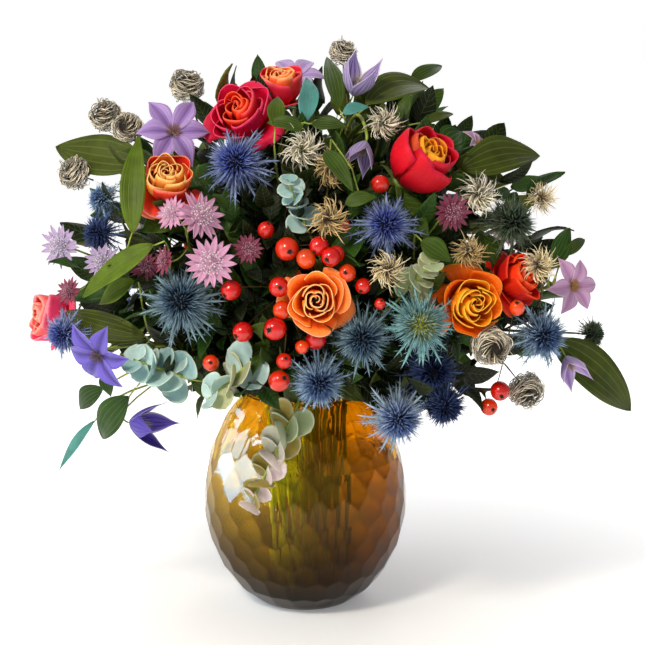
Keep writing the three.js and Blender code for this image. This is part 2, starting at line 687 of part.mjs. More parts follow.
// A ball with a spine raised on each face that tipOf gives a tip for, from the face's direction. The
// face at its back is left open, for its stalk.
function burr(count, core, tipOf) {
  const { ways, faces } = spread(count);
  const { points, add, addAll } = pointList();
  addAll(ways.map((way) => way.clone().multiply(core)));
  const middles = faces.map((face) => mean(face.map((k) => ways[k])).normalize());
  const back = middles.reduce((low, way, i) => (way.z < middles[low].z ? i : low), 0);
  const triangles = faces.flatMap((face, i) => {
    if (i === back) return [];
    const tip = tipOf(middles[i]);
    return tip ? fan(face, add(tip)) : [face];
  });
  return { points, triangles, socket: faces[back] };
}

const BARE_BACK = -0.7; // faces that point further back than this bear no spine
const BALL_STALK = 0.62; // where a ball's stalk begins behind its middle, in radii

// A sea holly: a cone of short spines with a ruff of long ones round and below it.
function thistleHead(radius, seed) {
  const random = randomFrom(seed);
  return burr(radius > 20 ? 18 : 12, vec(0.4, 0.4, 0.46).multiplyScalar(radius), (way) => {
    if (way.z < BARE_BACK) return null;
    return way.clone().multiplyScalar(radius * (way.z > 0.75 ? 0.82 : 1.1 + 0.3 * random()));
  });
}

// A clematis seed head: silky tails that all lean the same way round.
function seedHead(radius, seed) {
  const random = randomFrom(seed);
  return burr(12, vec(0.44, 0.44, 0.44).multiplyScalar(radius), (way) => {
    if (way.z < BARE_BACK) return null;
    const swirl = vec(0, 0, 1).cross(way).multiplyScalar(0.5 * radius);
    return way.clone().multiplyScalar(radius * (0.85 + 0.2 * random())).add(swirl);
  });
}

const hip = (radius) => burr(radius > 8 ? 14 : 10, vec(radius, radius, 1.1 * radius), () => null);

// A low cone in the middle of a flower, with a pin raised on each side of it: stamens or florets.
function tuft(list, corners, { wide, low, high, reach, pins }) {
  const foot = list.addAll(corners.map((degrees) => polar(wide, degrees, low)));
  const top = list.add(vec(0, 0, high));
  const triangles = foot.flatMap((a, i) => {
    const b = following(foot, i);
    const pin = list.add(mean([list.points[a], list.points[b]]).setZ(0).setLength(reach).setZ(pins));
    return fan([a, b, top], pin);
  });
  return { foot, triangles };
}

// Astrantia: a star of papery bracts round a cushion of pin-like florets.
const BRACTS = 9;
const ASTRANTIA_BACK = 0.3; // where its stalk begins behind its middle, in radii
function astrantiaHead(radius) {
  const list = pointList();
  const gaps = upTo(BRACTS).map((i) => (i * 360) / BRACTS);
  const rim = gaps.flatMap((degrees) => list.addAll([
    polar(0.6 * radius, degrees, 0), polar(radius, degrees + 180 / BRACTS, 0.18 * radius)]));
  const cushion = tuft(list, gaps,
    { wide: 0.3 * radius, low: 0.16 * radius, high: 0.3 * radius, reach: 0.42 * radius, pins: 0.5 * radius });
  const socket = list.addAll([0, -120, -240].map((turn) => polar(0.12 * radius, turn, -0.26 * radius)));
  const bracts = [...zip(cushion.foot, rim), ...zip(socket, backwards(rim))];
  return { points: list.points, triangles: [...cushion.triangles, ...bracts], socket };
}

// An open clematis: six pointed tepals round a tuft of stamens. Its back comes to a blunt point.
const TEPALS = 6;
// Its edge from one gap to the next, as [share of its radius, degrees off its rib, rise].
const TEPAL = [
  [0.22, -30, 0], [0.62, -22, 0.1], [0.88, -10, 0.11],
  [1, 0, 0.05], [0.88, 10, 0.11], [0.62, 22, 0.1],
];
const CLEMATIS_BACK = 3;
function clematisOpen(radius) {
  const list = pointList();
  const turns = upTo(TEPALS).map((i) => (i * 360) / TEPALS);
  const edges = turns.map((turn) =>
    list.addAll(TEPAL.map(([share, off, rise]) => polar(share * radius, turn + off, rise * radius))));
  const ribs = [0.8, -0.8].map((lift) =>
    list.addAll(turns.map((turn) => polar(0.6 * radius, turn, 0.05 * radius + lift))));
  const inner = (rib) => edges.flatMap(([gap], i) => [gap, rib[i]]);
  const blades = edges.flatMap((edge, i) => {
    const outline = [...edge, edges[(i + 1) % TEPALS][0]];
    return outline.slice(1).flatMap((to, k) => [[outline[k], to, ribs[0][i]], [to, outline[k], ribs[1][i]]]);
  });
  const stamens = tuft(list, turns.map((turn) => turn - 30),
    { wide: 0.13 * radius, low: 1.8, high: 0.12 * radius, reach: 0.24 * radius, pins: 0.26 * radius });
  const back = fan(backwards(inner(ribs[1])), list.add(vec(0, 0, -CLEMATIS_BACK)));
  return skin(list.points, [...blades, ...stamens.triangles, ...zip(stamens.foot, inner(ribs[0])), ...back]);
}

// A clematis bell: a thin cup from its neck, cut into four lobes that turn out at the lip.
const BELL = [[0.42, 0.26, 0, 0.02], [0.46, 0.62, 0.02, 0.06], [0.4, 0.72, 0.36, 0.26]];
const BELL_WALL = 1.2;
function clematisBell(radius) {
  const ring = ([r, z, out, rise], thinner = 0, lift = 0) => upTo(8).map((i) => {
    const lobe = i % 2 ? 0 : 1;
    return polar((r + lobe * out) * radius - thinner, i * 45, (z + lobe * rise + lift) * radius);
  });
  const neck = upTo(8).map((i) => polar(2.4, i * 45, -CLEMATIS_BACK));
  const inside = backwards(BELL).map((section, i) => ring(section, BELL_WALL, i < 2 ? 0 : 0.08));
  return loft([neck, ...BELL.map((section) => ring(section)), ...inside], vec(0, 0, 0.2 * radius));
}

// A rose: a bud in the middle, and two rings of petals that grow from the sides of its heart. Above
// its waist each petal lies inside one neighbour and outside the other, as they unfurl.
const ROSE_DEPTH = 0.8; // from the middle of a rose down to its foot, in radii
function roseHead(radius, open) {
  const list = pointList();
  const ring = (r, z, turn) => list.addAll(upTo(5).map((i) => polar(r * radius, turn + i * 72, z * radius)));
  const petal = (quad, middle, sections) => {
    const loops = sections.map(([r, z, half, drop]) => list.addAll([
      polar(r * radius + 0.5, middle, z * radius),
      polar(0.88 * r * radius, middle + half, (z - drop) * radius),
      polar(r * radius - 0.5, middle, z * radius),
      polar(1.1 * r * radius, middle - half, (z - drop) * radius)]));
    return [...braid(quad, loops[0]), ...wall(loops[0], loops[1]), ...lid(loops[1])];
  };
  const petals = (low, high, turn, sections) => low.flatMap((a, i) =>
    petal([a, following(low, i), following(high, i), high[i]], turn + i * 72 + 36, sections));
  const hearts = [[0.36, -0.64, 0], [0.42, -0.36, 0], [0.3, -0.2, 36], [0.26, 0, 36], [0.15, 0.26, 72]]
    .map((section) => ring(...section));
  const outer = [[0.8, -0.08, 33, 0], [0.66 + 0.32 * open, 0.36 - 0.12 * open, 47, 0.1]];
  const inner = [[0.5, 0.1, 33, 0], [0.42 + 0.16 * open, 0.5 - 0.06 * open, 47, 0.1]];
  return skin(list.points, [
    ...fan(backwards(hearts[0]), list.add(vec(0, 0, -ROSE_DEPTH * radius))),
    ...petals(hearts[0], hearts[1], 0, outer),
    ...braid(hearts[1], hearts[2]),
    ...petals(hearts[2], hearts[3], 36, inner),
    ...braid(hearts[3], hearts[4]),
    ...fan(hearts[4], list.add(vec(0, 0, 0.42 * radius))),
  ]);
}

// A rose's calyx: a star of five sepals that hang back round the top of the stem.
function calyx(radius) {
  const list = pointList();
  const sepals = upTo(5).map((i) => i * 72);
  const rim = sepals.flatMap((turn) =>
    list.addAll([polar(0.24 * radius, turn, -0.03 * radius),
      polar(0.64 * radius, turn + 36, -0.28 * radius)]));
  const socket = list.addAll(sepals.map((turn) => polar(0.14 * radius, -turn, -0.2 * radius)));
  const triangles = [...fan(rim, list.add(vec(0, 0, 0))), ...zip(socket, backwards(rim))];
  return { points: list.points, triangles, socket };
}

// ---- plants --------------------------------------------------------------------------------

const group = new THREE.Group();

function addMesh(name, whole, colour, place = new THREE.Matrix4()) {
  const mesh = whole.getMesh();
  const geometry = new THREE.BufferGeometry();
  geometry.setAttribute("position", new THREE.BufferAttribute(new Float32Array(mesh.vertProperties), 3));
  geometry.setIndex(new THREE.BufferAttribute(new Uint32Array(mesh.triVerts), 1));
  geometry.computeVertexNormals();
  const [color, roughness, metalness] = COLOURS[colour];
  const made = new THREE.Mesh(geometry, new THREE.MeshStandardMaterial({ color, roughness, metalness }));
  made.name = name;
  made.applyMatrix4(place);
  group.add(made);
}

// Where a head stands, the way it faces, and where its stem arrives, some way behind it.
function headPlace([across, up, lift, turn, tilt, radius], behind) {
  const at = onDome(across, up, lift, Math.cos(turn * DEG) < 0);
  const way = facing(turn, tilt);
  return { at, way, radius, foot: at.clone().addScaledVector(way, -behind(radius)) };
}

function leafPlace([across, up, lift, tipAcross, tipUp, tipLift, width, roll], back) {
  const base = onDome(across, up, lift, back);
  const tip = onDome(tipAcross, tipUp, tipLift, back);
  const along = tip.clone().sub(base).normalize();
  const face = mean([base, tip]).sub(HEART).normalize().applyAxisAngle(along, roll * DEG);
  return { base, tip, width, face };
}

// The room that a head of each shape takes up: [along its axis, out from it, radius] in radii.
const BODIES = {
  ball: [[0, 0, 0.95]],
  disc: [[0, 0, 0.35], [0.06, 0.66, 0.26]],
  bell: [[0.45, 0, 0.5], [0.85, 0.5, 0.25]],
};

function takeRoom(owner, { at, way, radius }, shape) {
  const u = way.clone().cross(Math.abs(way.z) < 0.9 ? vec(0, 0, 1) : vec(1, 0, 0)).normalize();
  BODIES[shape].forEach(([along, out, size]) => {
    const centre = at.clone().addScaledVector(way, along * radius);
    upTo(out ? 8 : 1).forEach((i) => {
      const arm = u.clone().applyAxisAngle(way, i * 45 * DEG).multiplyScalar(out * radius);
      spots.push({ point: centre.clone().add(arm), radius: size * radius, owner });
    });
  });
}

// Everything with a fixed place is laid out first, so that every stem can be led clear of it.
const plants = [];
function plant(entry, kind, behind, shapeOf) {
  const list = entry.heads ?? entry.blooms?.map((bloom) => bloom.head) ?? [entry.head];
  const heads = list.map((head) => headPlace(head, behind));
  const leaves = (entry.leaves ?? []).map((leaf) => leafPlace(leaf, entry.back ?? false));
  heads.forEach((head, i) => takeRoom(entry.name, head, shapeOf(i)));
  leaves.forEach(({ base, tip, width }) =>
    [0.3, 0.5, 0.7].forEach((t) =>
      spots.push({ point: base.clone().lerp(tip, t), radius: width * 0.3, owner: entry.name })));
  const target = mean([...heads.map(({ at }) => at), ...leaves.map(({ base }) => base)]);
  plants.push({ entry, kind, heads, leaves, target });
}

ROSES.forEach((entry) => plant(entry, "rose", (r) => ROSE_DEPTH * r + GAP, () => "ball"));
THISTLES.forEach((entry) => plant(entry, "thistle", (r) => BALL_STALK * r, () => "ball"));
SEEDHEADS.forEach((entry) => plant(entry, "seedhead", (r) => BALL_STALK * r, () => "ball"));
VINES.forEach((entry) => plant(entry, "vine", () => CLEMATIS_BACK + GAP, (i) => entry.blooms[i].form));
ASTRANTIAS.forEach((entry) => plant(entry, "astrantia", (r) => ASTRANTIA_BACK * r + 4, () => "disc"));
HIPS.forEach((entry) => plant(entry, "hips", (r) => r + 3, () => "ball"));
EUCALYPTUS.forEach((entry) => {
  const foot = onDome(...entry.foot, false);
  const tip = onDome(...entry.tip, false);
  keepClear(entry.name, [foot, tip], entry.size * 0.6);
  plants.push({ entry, kind: "eucalyptus", foot, tip, target: tip });
});

// The plants that lean furthest take the outermost places in the neck.
[...plants].sort((a, b) => leanOf(b.target) - leanOf(a.target)).forEach((each) => {
  each.slot = takeSlot(each.target);
});

// The rim of the vase, for stems that lean over it.
upTo(40).forEach((i) => [0, 8, 16].forEach((drop) => {
  const point = polar(eggRadius(VASE.rim - drop) - VASE.wall / 2, i * 9, VASE.rim - drop);
  spots.push({ point, radius: VASE.wall / 2, owner: "vase" });
}));

const LEAF_FORM = { outline: "leaf", arch: 0.1, fold: 0.2, thick: 1.2 };
const leafEnds = (leaves) => leaves.map(({ base, tip }) =>
  ({ at: base, way: tip.clone().sub(base).normalize() }));

// Leaves on stalks that come off a main stem. A path runs from the leaf's base to its root.
const leafBlades = (leaves, paths) => leaves.map((leaf, i) =>
  blade(leaf, LEAF_FORM, paths[i].at(-1), backwards(paths[i].slice(1, -1))));

// An end that arrives square under a bloom that is a piece of its own.
const squareEnd = ({ foot, way }) => ({ at: foot, from: foot.clone().addScaledVector(way, -5), way });

// A plant whose ends are all heads: each is one skin with its own stalk.
function headedPlant({ entry: { name }, slot, heads }, make, trunk, branch, colour) {
  const ends = heads.map(({ foot, way }) => ({ at: foot, way }));
  const { stem, paths } = grow(name, slot, ends, trunk, branch);
  addMesh(name, fuse(heads.map((head, i) => (i
    ? stalked(make(head.radius, i), placing(head), paths[i - 1], branch, branch, true)
    : stalked(make(head.radius, i), placing(head), stem, 0.8 * trunk, trunk, false)))), colour);
}

const makers = {
  rose({ entry, slot, heads: [head], leaves }) {
    addMesh(`${entry.name}_bloom`, solid(roseHead(head.radius, entry.open)), entry.colour, placing(head));
    const { stem, paths } = grow(entry.name, slot, [squareEnd(head), ...leafEnds(leaves)], 2.7, 1.6);
    const belowCup = stem[0].clone().addScaledVector(head.way, -0.34 * head.radius);
    const green = stalked(calyx(head.radius), placing({ at: head.foot, way: head.way }),
      [belowCup, ...stem.slice(2)], 2.4, 2.7, false);
    addMesh(`${entry.name}_stem`, fuse([green, ...leafBlades(leaves, paths)]), "leaf");
  },
  vine({ entry, slot, heads, leaves }) {
    entry.blooms.forEach(({ name, form }, i) => {
      const make = form === "disc" ? clematisOpen : clematisBell;
      addMesh(name, solid(make(heads[i].radius)), "clematis", placing(heads[i]));
    });
    const ends = [...heads.map(squareEnd), ...leafEnds(leaves)];
    const { stem, paths } = grow(entry.name, slot, ends, 2.5, 1.5);
    const green = heads.map(({ foot, way }, i) => (i
      ? stalked(cutEnd(1.5, 3), placing({ at: foot, way }), paths[i - 1].slice(1), 1.5, 1.5, true)
      : stalked(cutEnd(1.8, 4), placing({ at: foot, way }), stem.slice(1), 1.8, 2.5, false)));
    addMesh(entry.name, fuse([...green, ...leafBlades(leaves, paths.slice(heads.length - 1))]), "leaf");
  },
  thistle: (each) => headedPlant(each, (r, i) => thistleHead(r, 11 + i), 2.9, 2, "thistle"),
  seedhead: (each) => headedPlant(each, (r, i) => seedHead(r, 31 + i), 2.1, 1.4, "seedhead"),
  astrantia: (each) => headedPlant(each, astrantiaHead, 2.2, 1.4, "astrantia"),
  hips: (each) => headedPlant(each, hip, 2.3, 1.3, "hip"),
  eucalyptus({ entry, slot, foot, tip }) {
    const along = tip.clone().sub(foot);
    const way = along.clone().normalize();
    const { stem } = grow(entry.name, slot, [{ at: tip, from: foot, way }], 2.1, 2.1);
    const side = way.clone().cross(mean([foot, tip]).sub(HEART)).normalize();
    const leaves = upTo(entry.pairs).flatMap((pair) => {
      const t = (pair + 0.3) / entry.pairs;
      const size = entry.size * lerp(1, 0.62, t);
      const root = foot.clone().addScaledVector(along, t);
      const across = side.clone().applyAxisAngle(way, (pair % 2 ? entry.spin : 0) * DEG + 0.2);
      return [1, -1].map((hand) => {
        const end = root.clone().addScaledVector(across, hand * size).addScaledVector(way, size * 0.35);
        const leaf = { base: root.clone().lerp(end, 0.12), tip: end, face: way, width: size * 0.95 };
        return blade(leaf, { outline: "round", arch: -0.05, fold: 0.2, thick: 1.4 }, root);
      });
    });
    const twig = stalked(cutEnd(1.2, 3), placing({ at: tip, way }), stem.slice(1), 1.8, 2.1, false);
    addMesh(entry.name, fuse([twig, ...leaves]), "eucalyptus");
  },
};

plants.forEach((each) => makers[each.kind](each));
addMesh("vase", vase(), "glass");
addMesh("water", water(holes), "water");

export default group;
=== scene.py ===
"""The looks of a garden bouquet in a facet-cut amber glass vase.

Lengths are millimetres until a mesh is made. The frame is the CAD model's: +Z up, the front of the
bouquet towards -Y, the origin under the middle of the vase's foot. Every flower, leaf and sprig stands
where the frame has it, on the frame's own stems, and is modelled finely here.
"""
import math

import bmesh
import bpy
import numpy as np
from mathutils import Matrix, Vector
from mathutils.bvhtree import BVHTree

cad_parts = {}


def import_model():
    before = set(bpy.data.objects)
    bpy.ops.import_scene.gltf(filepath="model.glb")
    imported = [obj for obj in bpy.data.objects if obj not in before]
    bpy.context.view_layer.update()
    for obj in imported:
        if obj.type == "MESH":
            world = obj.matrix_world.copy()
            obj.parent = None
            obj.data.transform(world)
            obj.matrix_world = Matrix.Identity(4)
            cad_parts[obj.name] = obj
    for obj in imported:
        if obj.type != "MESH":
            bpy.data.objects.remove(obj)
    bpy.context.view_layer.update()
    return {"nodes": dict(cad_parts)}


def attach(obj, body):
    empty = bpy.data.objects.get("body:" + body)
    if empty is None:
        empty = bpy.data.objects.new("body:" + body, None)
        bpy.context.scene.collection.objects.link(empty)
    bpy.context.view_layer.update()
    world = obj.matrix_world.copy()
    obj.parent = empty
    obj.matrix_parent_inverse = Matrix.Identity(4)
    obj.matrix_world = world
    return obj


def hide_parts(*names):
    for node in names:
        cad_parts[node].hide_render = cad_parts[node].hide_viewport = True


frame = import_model()

MM = 0.001
DEG = math.pi / 180
GOLDEN_ANGLE = math.pi * (3 - math.sqrt(5))

# ---- the front view, as the frame was laid out in it ---------------------------------------------
# across and up are millimetres on a ruler at the vase's axis. A place then slides along the sight
# line, out to a dome of flowers and a lift beyond it.
VIEW_DISTANCE = 1600
VIEW_PITCH = 10 * DEG
AIM_X, AIM_Z, AIM_UP = 17.5, 285, 288.5
PICTURE = 645  # millimetres that the picture spans at the vase's axis
DOME = dict(across=15, up=330, half_width=300, half_height=225, depth=200, back_depth=165)

VASE = dict(radius=102, widest_at=105, rise=135, drop=118, rim=215, wall=5, floor=8, columns=24)
WATER_LEVEL = 150
NECK = 214  # height of the neck that the stems pass through
NECK_RADIUS = 44

# ---- places --------------------------------------------------------------------------------------
# A head is (across, up, lift, turn, tilt, radius). A leaf is (across, up, lift) of its foot, the same of
# its tip, its width and its roll.
ROSES = [
    # name, palette, how far open, petals in its skirt, head, leaves
    ("rose_centre", "orange", 1, 2, (11, 311, 0, 0, 6, 28), []),
    ("rose_low_right", "amber", 0.9, 3, (166, 308, 0, 18, 4, 28.5),
     [(176, 380, -32, 183, 338, -22, 24, 0)]),
    ("rose_right", "ruby", 0.35, 0, (115, 449, 6, 50, 40, 33), [(92, 418, -35, 124, 372, -12, 22, 0)]),
    ("rose_upper_left", "coral", 0.5, 4, (-138, 430, 4, 6, 42, 25),
     [(-128, 392, -30, -162, 378, -8, 26, 0)]),
    ("rose_top_left", "crimson", 0.7, 3, (-63, 496, 0, -22, 34, 30), []),
    ("rose_top_centre", "sunset", 0.4, 3, (-25, 524, -22, 0, 66, 24), []),
    ("rose_far_left", "pink", 0.5, 3, (-254, 294, -24, -66, 14, 26),
     [(-96, 212, -54, -100, 266, -48, 22, 0)]),
    ("rose_far_right", "scarlet", 0.6, 4, (212, 332, -14, 52, 30, 24), []),
    ("rose_back_left", "coral", 0.9, 2, (-95, 360, 0, 205, 18, 30), [(-60, 300, -10, -110, 285, 6, 26, 0)]),
    ("rose_back_right", "ruby", 0.7, 2, (120, 395, 0, 150, 24, 32), [(160, 340, -10, 205, 330, 4, 26, 0)]),
]

THISTLES = [
    # name, the palette of each head, heads
    ("thistle_left", "navy blue violet", [(-206, 378, 4, -60, 8, 18), (-203, 412, 8, -62, 22, 15),
      (-241, 277, 28, -35, -5, 19)]),
    ("thistle_left_centre", "steel violet", [(-124, 309, 0, -12, 24, 29), (-69, 448, 6, -10, 22, 27)]),
    ("thistle_right_top", "green violet", [(207, 389, -8, 42, 26, 24), (81, 386, 2, 4, 16, 24)]),
    ("thistle_centre_low", "steel blue pale", [(57, 272, -4, 4, -6, 25), (14, 228, 0, 0, -14, 23),
      (93, 192, 4, 12, -16, 25)]),
    ("thistle_right_low", "blue teal navy navy green", [(238, 275, 16, 28, -2, 24),
      (116, 286, 10, 10, 4, 27), (128, 240, -26, 20, -18, 24), (140, 205, -8, 30, -32, 21),
      (288, 277, -10, 74, 0, 14)]),
    ("thistle_back", "blue violet steel", [(10, 430, 0, 178, 30, 27), (-190, 300, 0, 226, 8, 26),
      (60, 285, 2, 172, 4, 27)]),
]

SEEDHEADS = [
    # name, the palette of each head, heads
    ("seedhead_left", "ball ball ball ball", [(-118, 525, -30, -20, 60, 16), (-199, 495, -10, -40, 40, 15),
      (-177, 483, 12, -20, 30, 14), (-230, 438, 10, -60, 24, 15)]),
    ("seedhead_centre", "gold white gold", [(26, 442, -6, 8, 14, 18), (-2, 461, 8, -4, 24, 19),
      (24, 392, 10, 10, 10, 18)]),
    ("seedhead_top_right", "white cream ball", [(79, 488, 10, 8, 34, 16.5), (83, 341, 12, 0, 0, 16.5),
      (38, 558, -24, 0, 70, 13)]),
    ("seedhead_right", "cream cream white gold ball ball", [(234, 345, 28, -10, 50, 17),
      (236, 412, -2, 50, 34, 15), (173, 416, 6, 26, 22, 19), (164, 358, -8, 16, 10, 15.5),
      (186, 265, 10, 20, -10, 16.5), (221, 221, 0, 34, -30, 16)]),
    ("seedhead_back", "cream gold white", [(-20, 330, 4, 184, 10, 18), (-60, 470, 0, 196, 40, 18),
      (180, 300, 0, 136, 6, 19)]),
]

ASTRANTIAS = [
    # name, the palette of each head, heads
    ("astrantia_centre", "pink pink pink ruby ruby", [(-106, 394, 8, 34, 22, 20), (-94, 348, 14, 0, 10, 20),
      (-132, 397, 4, -30, 20, 14), (-139, 350, 12, -50, 10, 12), (-57, 362, 0, 10, 8, 12)]),
    ("astrantia_left", "lilac lilac ruby ruby pink", [(-243, 365, 2, -24, 10, 18),
      (-202, 349, 12, -4, 8, 15), (-160, 345, -4, 6, 6, 12), (-235, 319, 6, -30, 20, 12),
      (-160, 390, 0, 216, 20, 17)]),
    ("astrantia_right", "ruby ruby pink", [(146, 399, 0, 20, 0, 16), (88, 352, 6, 160, 12, 18),
      (196, 380, 0, 140, 16, 17)]),
]

HIPS = [
    # name, fruits
    ("hips_centre", [(-18, 362, -2, 0, 0, 10.5), (1, 352, 2, 0, 0, 8.5), (14, 365, 2, 0, 0, 8.5),
      (31, 357, 0, 0, 0, 7.5), (26, 354, 8, 0, 0, 8.5), (42, 338, 0, 0, 0, 8), (58, 325, -2, 0, 0, 7),
      (-39, 381, -10, 0, 0, 7.5), (-15, 426, -14, 0, 0, 8), (75, 427, 2, 0, 0, 8),
      (40, 385, -12, 0, 0, 5)]),
    ("hips_left", [(-26, 324, 2, 0, 0, 9), (-23, 301, 0, 0, 0, 8), (-30, 282, 6, 0, 0, 10),
      (-62, 279, 0, 0, 0, 9), (-74, 321, 0, 0, 0, 9), (-94, 248, -8, 0, 0, 7.5), (-21, 250, 4, 0, 0, 7),
      (-26, 230, 4, 0, 0, 9.5), (-3, 264, 0, 0, 0, 6), (11, 272, -6, 0, 0, 9)]),
    ("hips_right", [(195, 220, 2, 0, 0, 9), (184, 204, -2, 0, 0, 8), (212, 303, 18, 0, 0, 7),
      (75, 307, 2, 0, 0, 5), (152, 345, 0, 150, 0, 9), (168, 322, 4, 150, 0, 9), (-30, 400, 0, 190, 0, 9)]),
]

VINES = [
    # name, the green of each leaf, blooms as (name, palette, form, head), leaves
    ("vine_left_top", "ob", [
        ("clematis_left_top", "lavender", "disc", (-132, 478, 4, 12, 28, 38)),
    ], [(-160, 448, -28, -242, 460, -24, 36, -16), (-172, 378, 24, -164, 472, 36, 20, 30)]),
    ("vine_left_low", "bbodddt", [
        ("clematis_left_low", "violet", "disc", (-206, 257, 30, -28, -22, 37)),
        ("clematis_left_bell", "deep", "bell", (-172, 188, 4, 64, 0, 38)),
    ], [(-152, 366, 20, -221, 313, 28, 20, 10), (-170, 330, 2, -204, 306, 2, 18, 20),
        (-160, 275, -12, -243, 299, -8, 24, -10), (-200, 240, -10, -193, 215, -2, 14, 0),
        (-176, 214, -8, -206, 172, 6, 26, 0), (-202, 222, -10, -225, 203, 4, 18, 0),
        (-211, 190, -6, -243, 139, 4, 10, 0)]),
    ("vine_top", "bmtmmtmm", [
        ("clematis_peak", "lilac", "disc", (-10, 532, -80, 0, 60, 36)),
        ("clematis_top_bell", "striped", "bell", (49, 519, 4, 30, 58, 37)),
    ], [(-30, 484, 24, -27, 512, 22, 14, 20), (34, 502, 2, 22, 545, -6, 16, 0),
        (0, 489, 10, 2, 528, 8, 16, 0), (-2, 482, 22, -38, 489, 26, 14, 0),
        (7, 487, 14, 43, 482, 20, 14, 0), (38, 498, 12, 64, 503, 16, 11, 0),
        (20, 460, 20, 48, 420, 26, 15, 0), (40, 407, 16, 72, 414, 22, 12, 0)]),
    ("vine_right_top", "omodo", [
        ("clematis_right_bell", "dusky", "bell", (60, 467, -4, -30, -52, 27)),
        ("clematis_right_peak", "mauve", "disc", (172, 466, -16, 60, 40, 19)),
    ], [(62, 506, -4, 127, 524, -6, 33, -10), (106, 530, -14, 137, 545, -20, 15, 0),
        (156, 442, -4, 234, 454, 4, 32, 10), (138, 466, 0, 156, 478, -2, 22, 0),
        (118, 488, 0, 149, 498, 4, 9, 0)]),
    ("vine_right", "odmm", [
        ("clematis_far_right", "mauve", "disc", (267, 325, 8, 30, 10, 30)),
        ("clematis_right_low", "lilac", "bell", (262, 252, 18, 26, -44, 26.5)),
    ], [(248, 270, -30, 327, 200, -6, 38, 12), (246, 346, -4, 262, 382, -4, 18, 0),
        (258, 356, 2, 280, 372, 6, 10, 0), (116, 370, 8, 146, 350, 12, 18, 0)]),
    ("vine_back", "omdomdo", [
        ("clematis_back", "lavender", "disc", (10, 370, 6, 180, 16, 40)),
    ], [(-120, 420, -4, -170, 440, 6, 34, 0), (-150, 330, -4, -215, 345, 6, 32, 0),
        (70, 322, -6, 120, 300, 4, 32, 0), (150, 430, -4, 205, 425, 6, 32, 0),
        (-20, 260, -4, -80, 225, 8, 34, 0), (120, 260, -4, 175, 235, 8, 34, 0),
        (40, 490, -6, 90, 500, 4, 30, 0)]),
]

EUCALYPTUS = [
    # name, tone, pairs of leaves in the frame, pairs shown for each of them, a leaf's length and its width
    # as a share of that, turn from one pair to the next, then (across, up, lift) of the foot and of the tip
    ("eucalyptus_centre", 0, 3, 2, 19, 1.3, 62, (2, 382, -22), (-18, 432, 14)),
    ("eucalyptus_left", 0, 3, 2, 26, 1.5, 62, (-116, 232, -18), (-172, 252, 14)),
    ("eucalyptus_low", 1, 3, 2, 25, 1.45, 62, (-50, 252, -14), (-96, 212, 14)),
    ("eucalyptus_right", 2, 2, 2, 22, 1.4, 62, (100, 318, -16), (128, 350, 16)),
    ("eucalyptus_drooping", 3, 4, 3, 22, 1.6, 0, (-8, 204, -63), (-54, 106, 44)),
]

# ---- small tools ---------------------------------------------------------------------------------


def vec(*values):
    return np.array(values, float)


def unit(v):
    return v / np.maximum(np.linalg.norm(v, axis=-1, keepdims=True), 1e-9)


def mix(a, b, t):
    return a + (b - a) * t


def smooth(low, high, t):
    t = np.clip((t - low) / (high - low), 0, 1)
    return t * t * (3 - 2 * t)


def rgb(code):
    """A colour written as on screen, in linear light."""
    s = np.array([int(code[i:i + 2], 16) for i in (0, 2, 4)]) / 255
    return np.where(s <= 0.04045, s / 12.92, ((s + 0.055) / 1.055) ** 2.4)


def palettes(table):
    return {name: [rgb(code) for code in codes.split()] for name, codes in table.items()}


def seen(across, up, forward):
    """The place that shows at across and up in the front view, this far forward of the vase's axis."""
    share = 1 - forward / VIEW_DISTANCE
    aside = (across - AIM_X) * share
    above = (up - AIM_UP) * share
    sin, cos = math.sin(VIEW_PITCH), math.cos(VIEW_PITCH)
    return vec(AIM_X + aside, above * sin - forward * cos, AIM_Z + above * cos + forward * sin)


def on_dome(across, up, lift, back=False):
    aside = (across - DOME["across"]) / DOME["half_width"]
    above = (up - DOME["up"]) / DOME["half_height"]
    share = math.sqrt(max(0.05, 1 - (aside ** 2 + above ** 2)))
    return seen(across, up, -DOME["back_depth"] * share - lift if back else DOME["depth"] * share + lift)


HEART = seen(DOME["across"], DOME["up"] - 60, 0)  # what the leaves face away from


def facing(turn, tilt):
    flat = math.cos(tilt * DEG)
    return vec(math.sin(turn * DEG) * flat, -math.cos(turn * DEG) * flat, math.sin(tilt * DEG))


def turned(v, axis, angle):
    """v turned about a unit axis."""
    cos, sin = math.cos(angle), math.sin(angle)
    return v * cos + np.cross(axis, v) * sin + axis * (v @ axis)[..., None] * (1 - cos)


def basis(way):
    """The rows that turn a thing made along +Z to face a way, its own Y kept as upright as it can be."""
    sideways = vec(1, 0, 0) if abs(way[2]) > 0.95 else unit(np.cross(vec(0, 0, 1), way))
    upright = unit(np.cross(way, sideways))
    return np.stack([np.cross(upright, way), upright, way])


def polar(r, angle, z):
    r, angle, z = np.broadcast_arrays(r, angle, z)
    return np.stack([r * np.cos(angle), r * np.sin(angle), z], -1)


def spoke(angle, r, aside, z):
    """Places out along a direction from the axis, and aside from it."""
    cos, sin = math.cos(angle), math.sin(angle)
    return np.stack([r * cos - aside * sin, r * sin + aside * cos, z], -1)


def sheet(rows, columns):
    """How far along (0 to 1) and across (-1 to 1) each point of a blade lies."""
    return np.meshgrid(np.linspace(0, 1, rows), np.linspace(-1, 1, columns), indexing="ij")


def cap(count, span):
    """Evenly spread directions within an angle of +Z."""
    i = np.arange(count)
    z = 1 - (1 - math.cos(span)) * (i + 0.5) / count
    return polar(np.sqrt(1 - z * z), GOLDEN_ANGLE * i, z)


def jitter(rng, ways, amount):
    return unit(ways + rng.normal(0, amount, ways.shape))


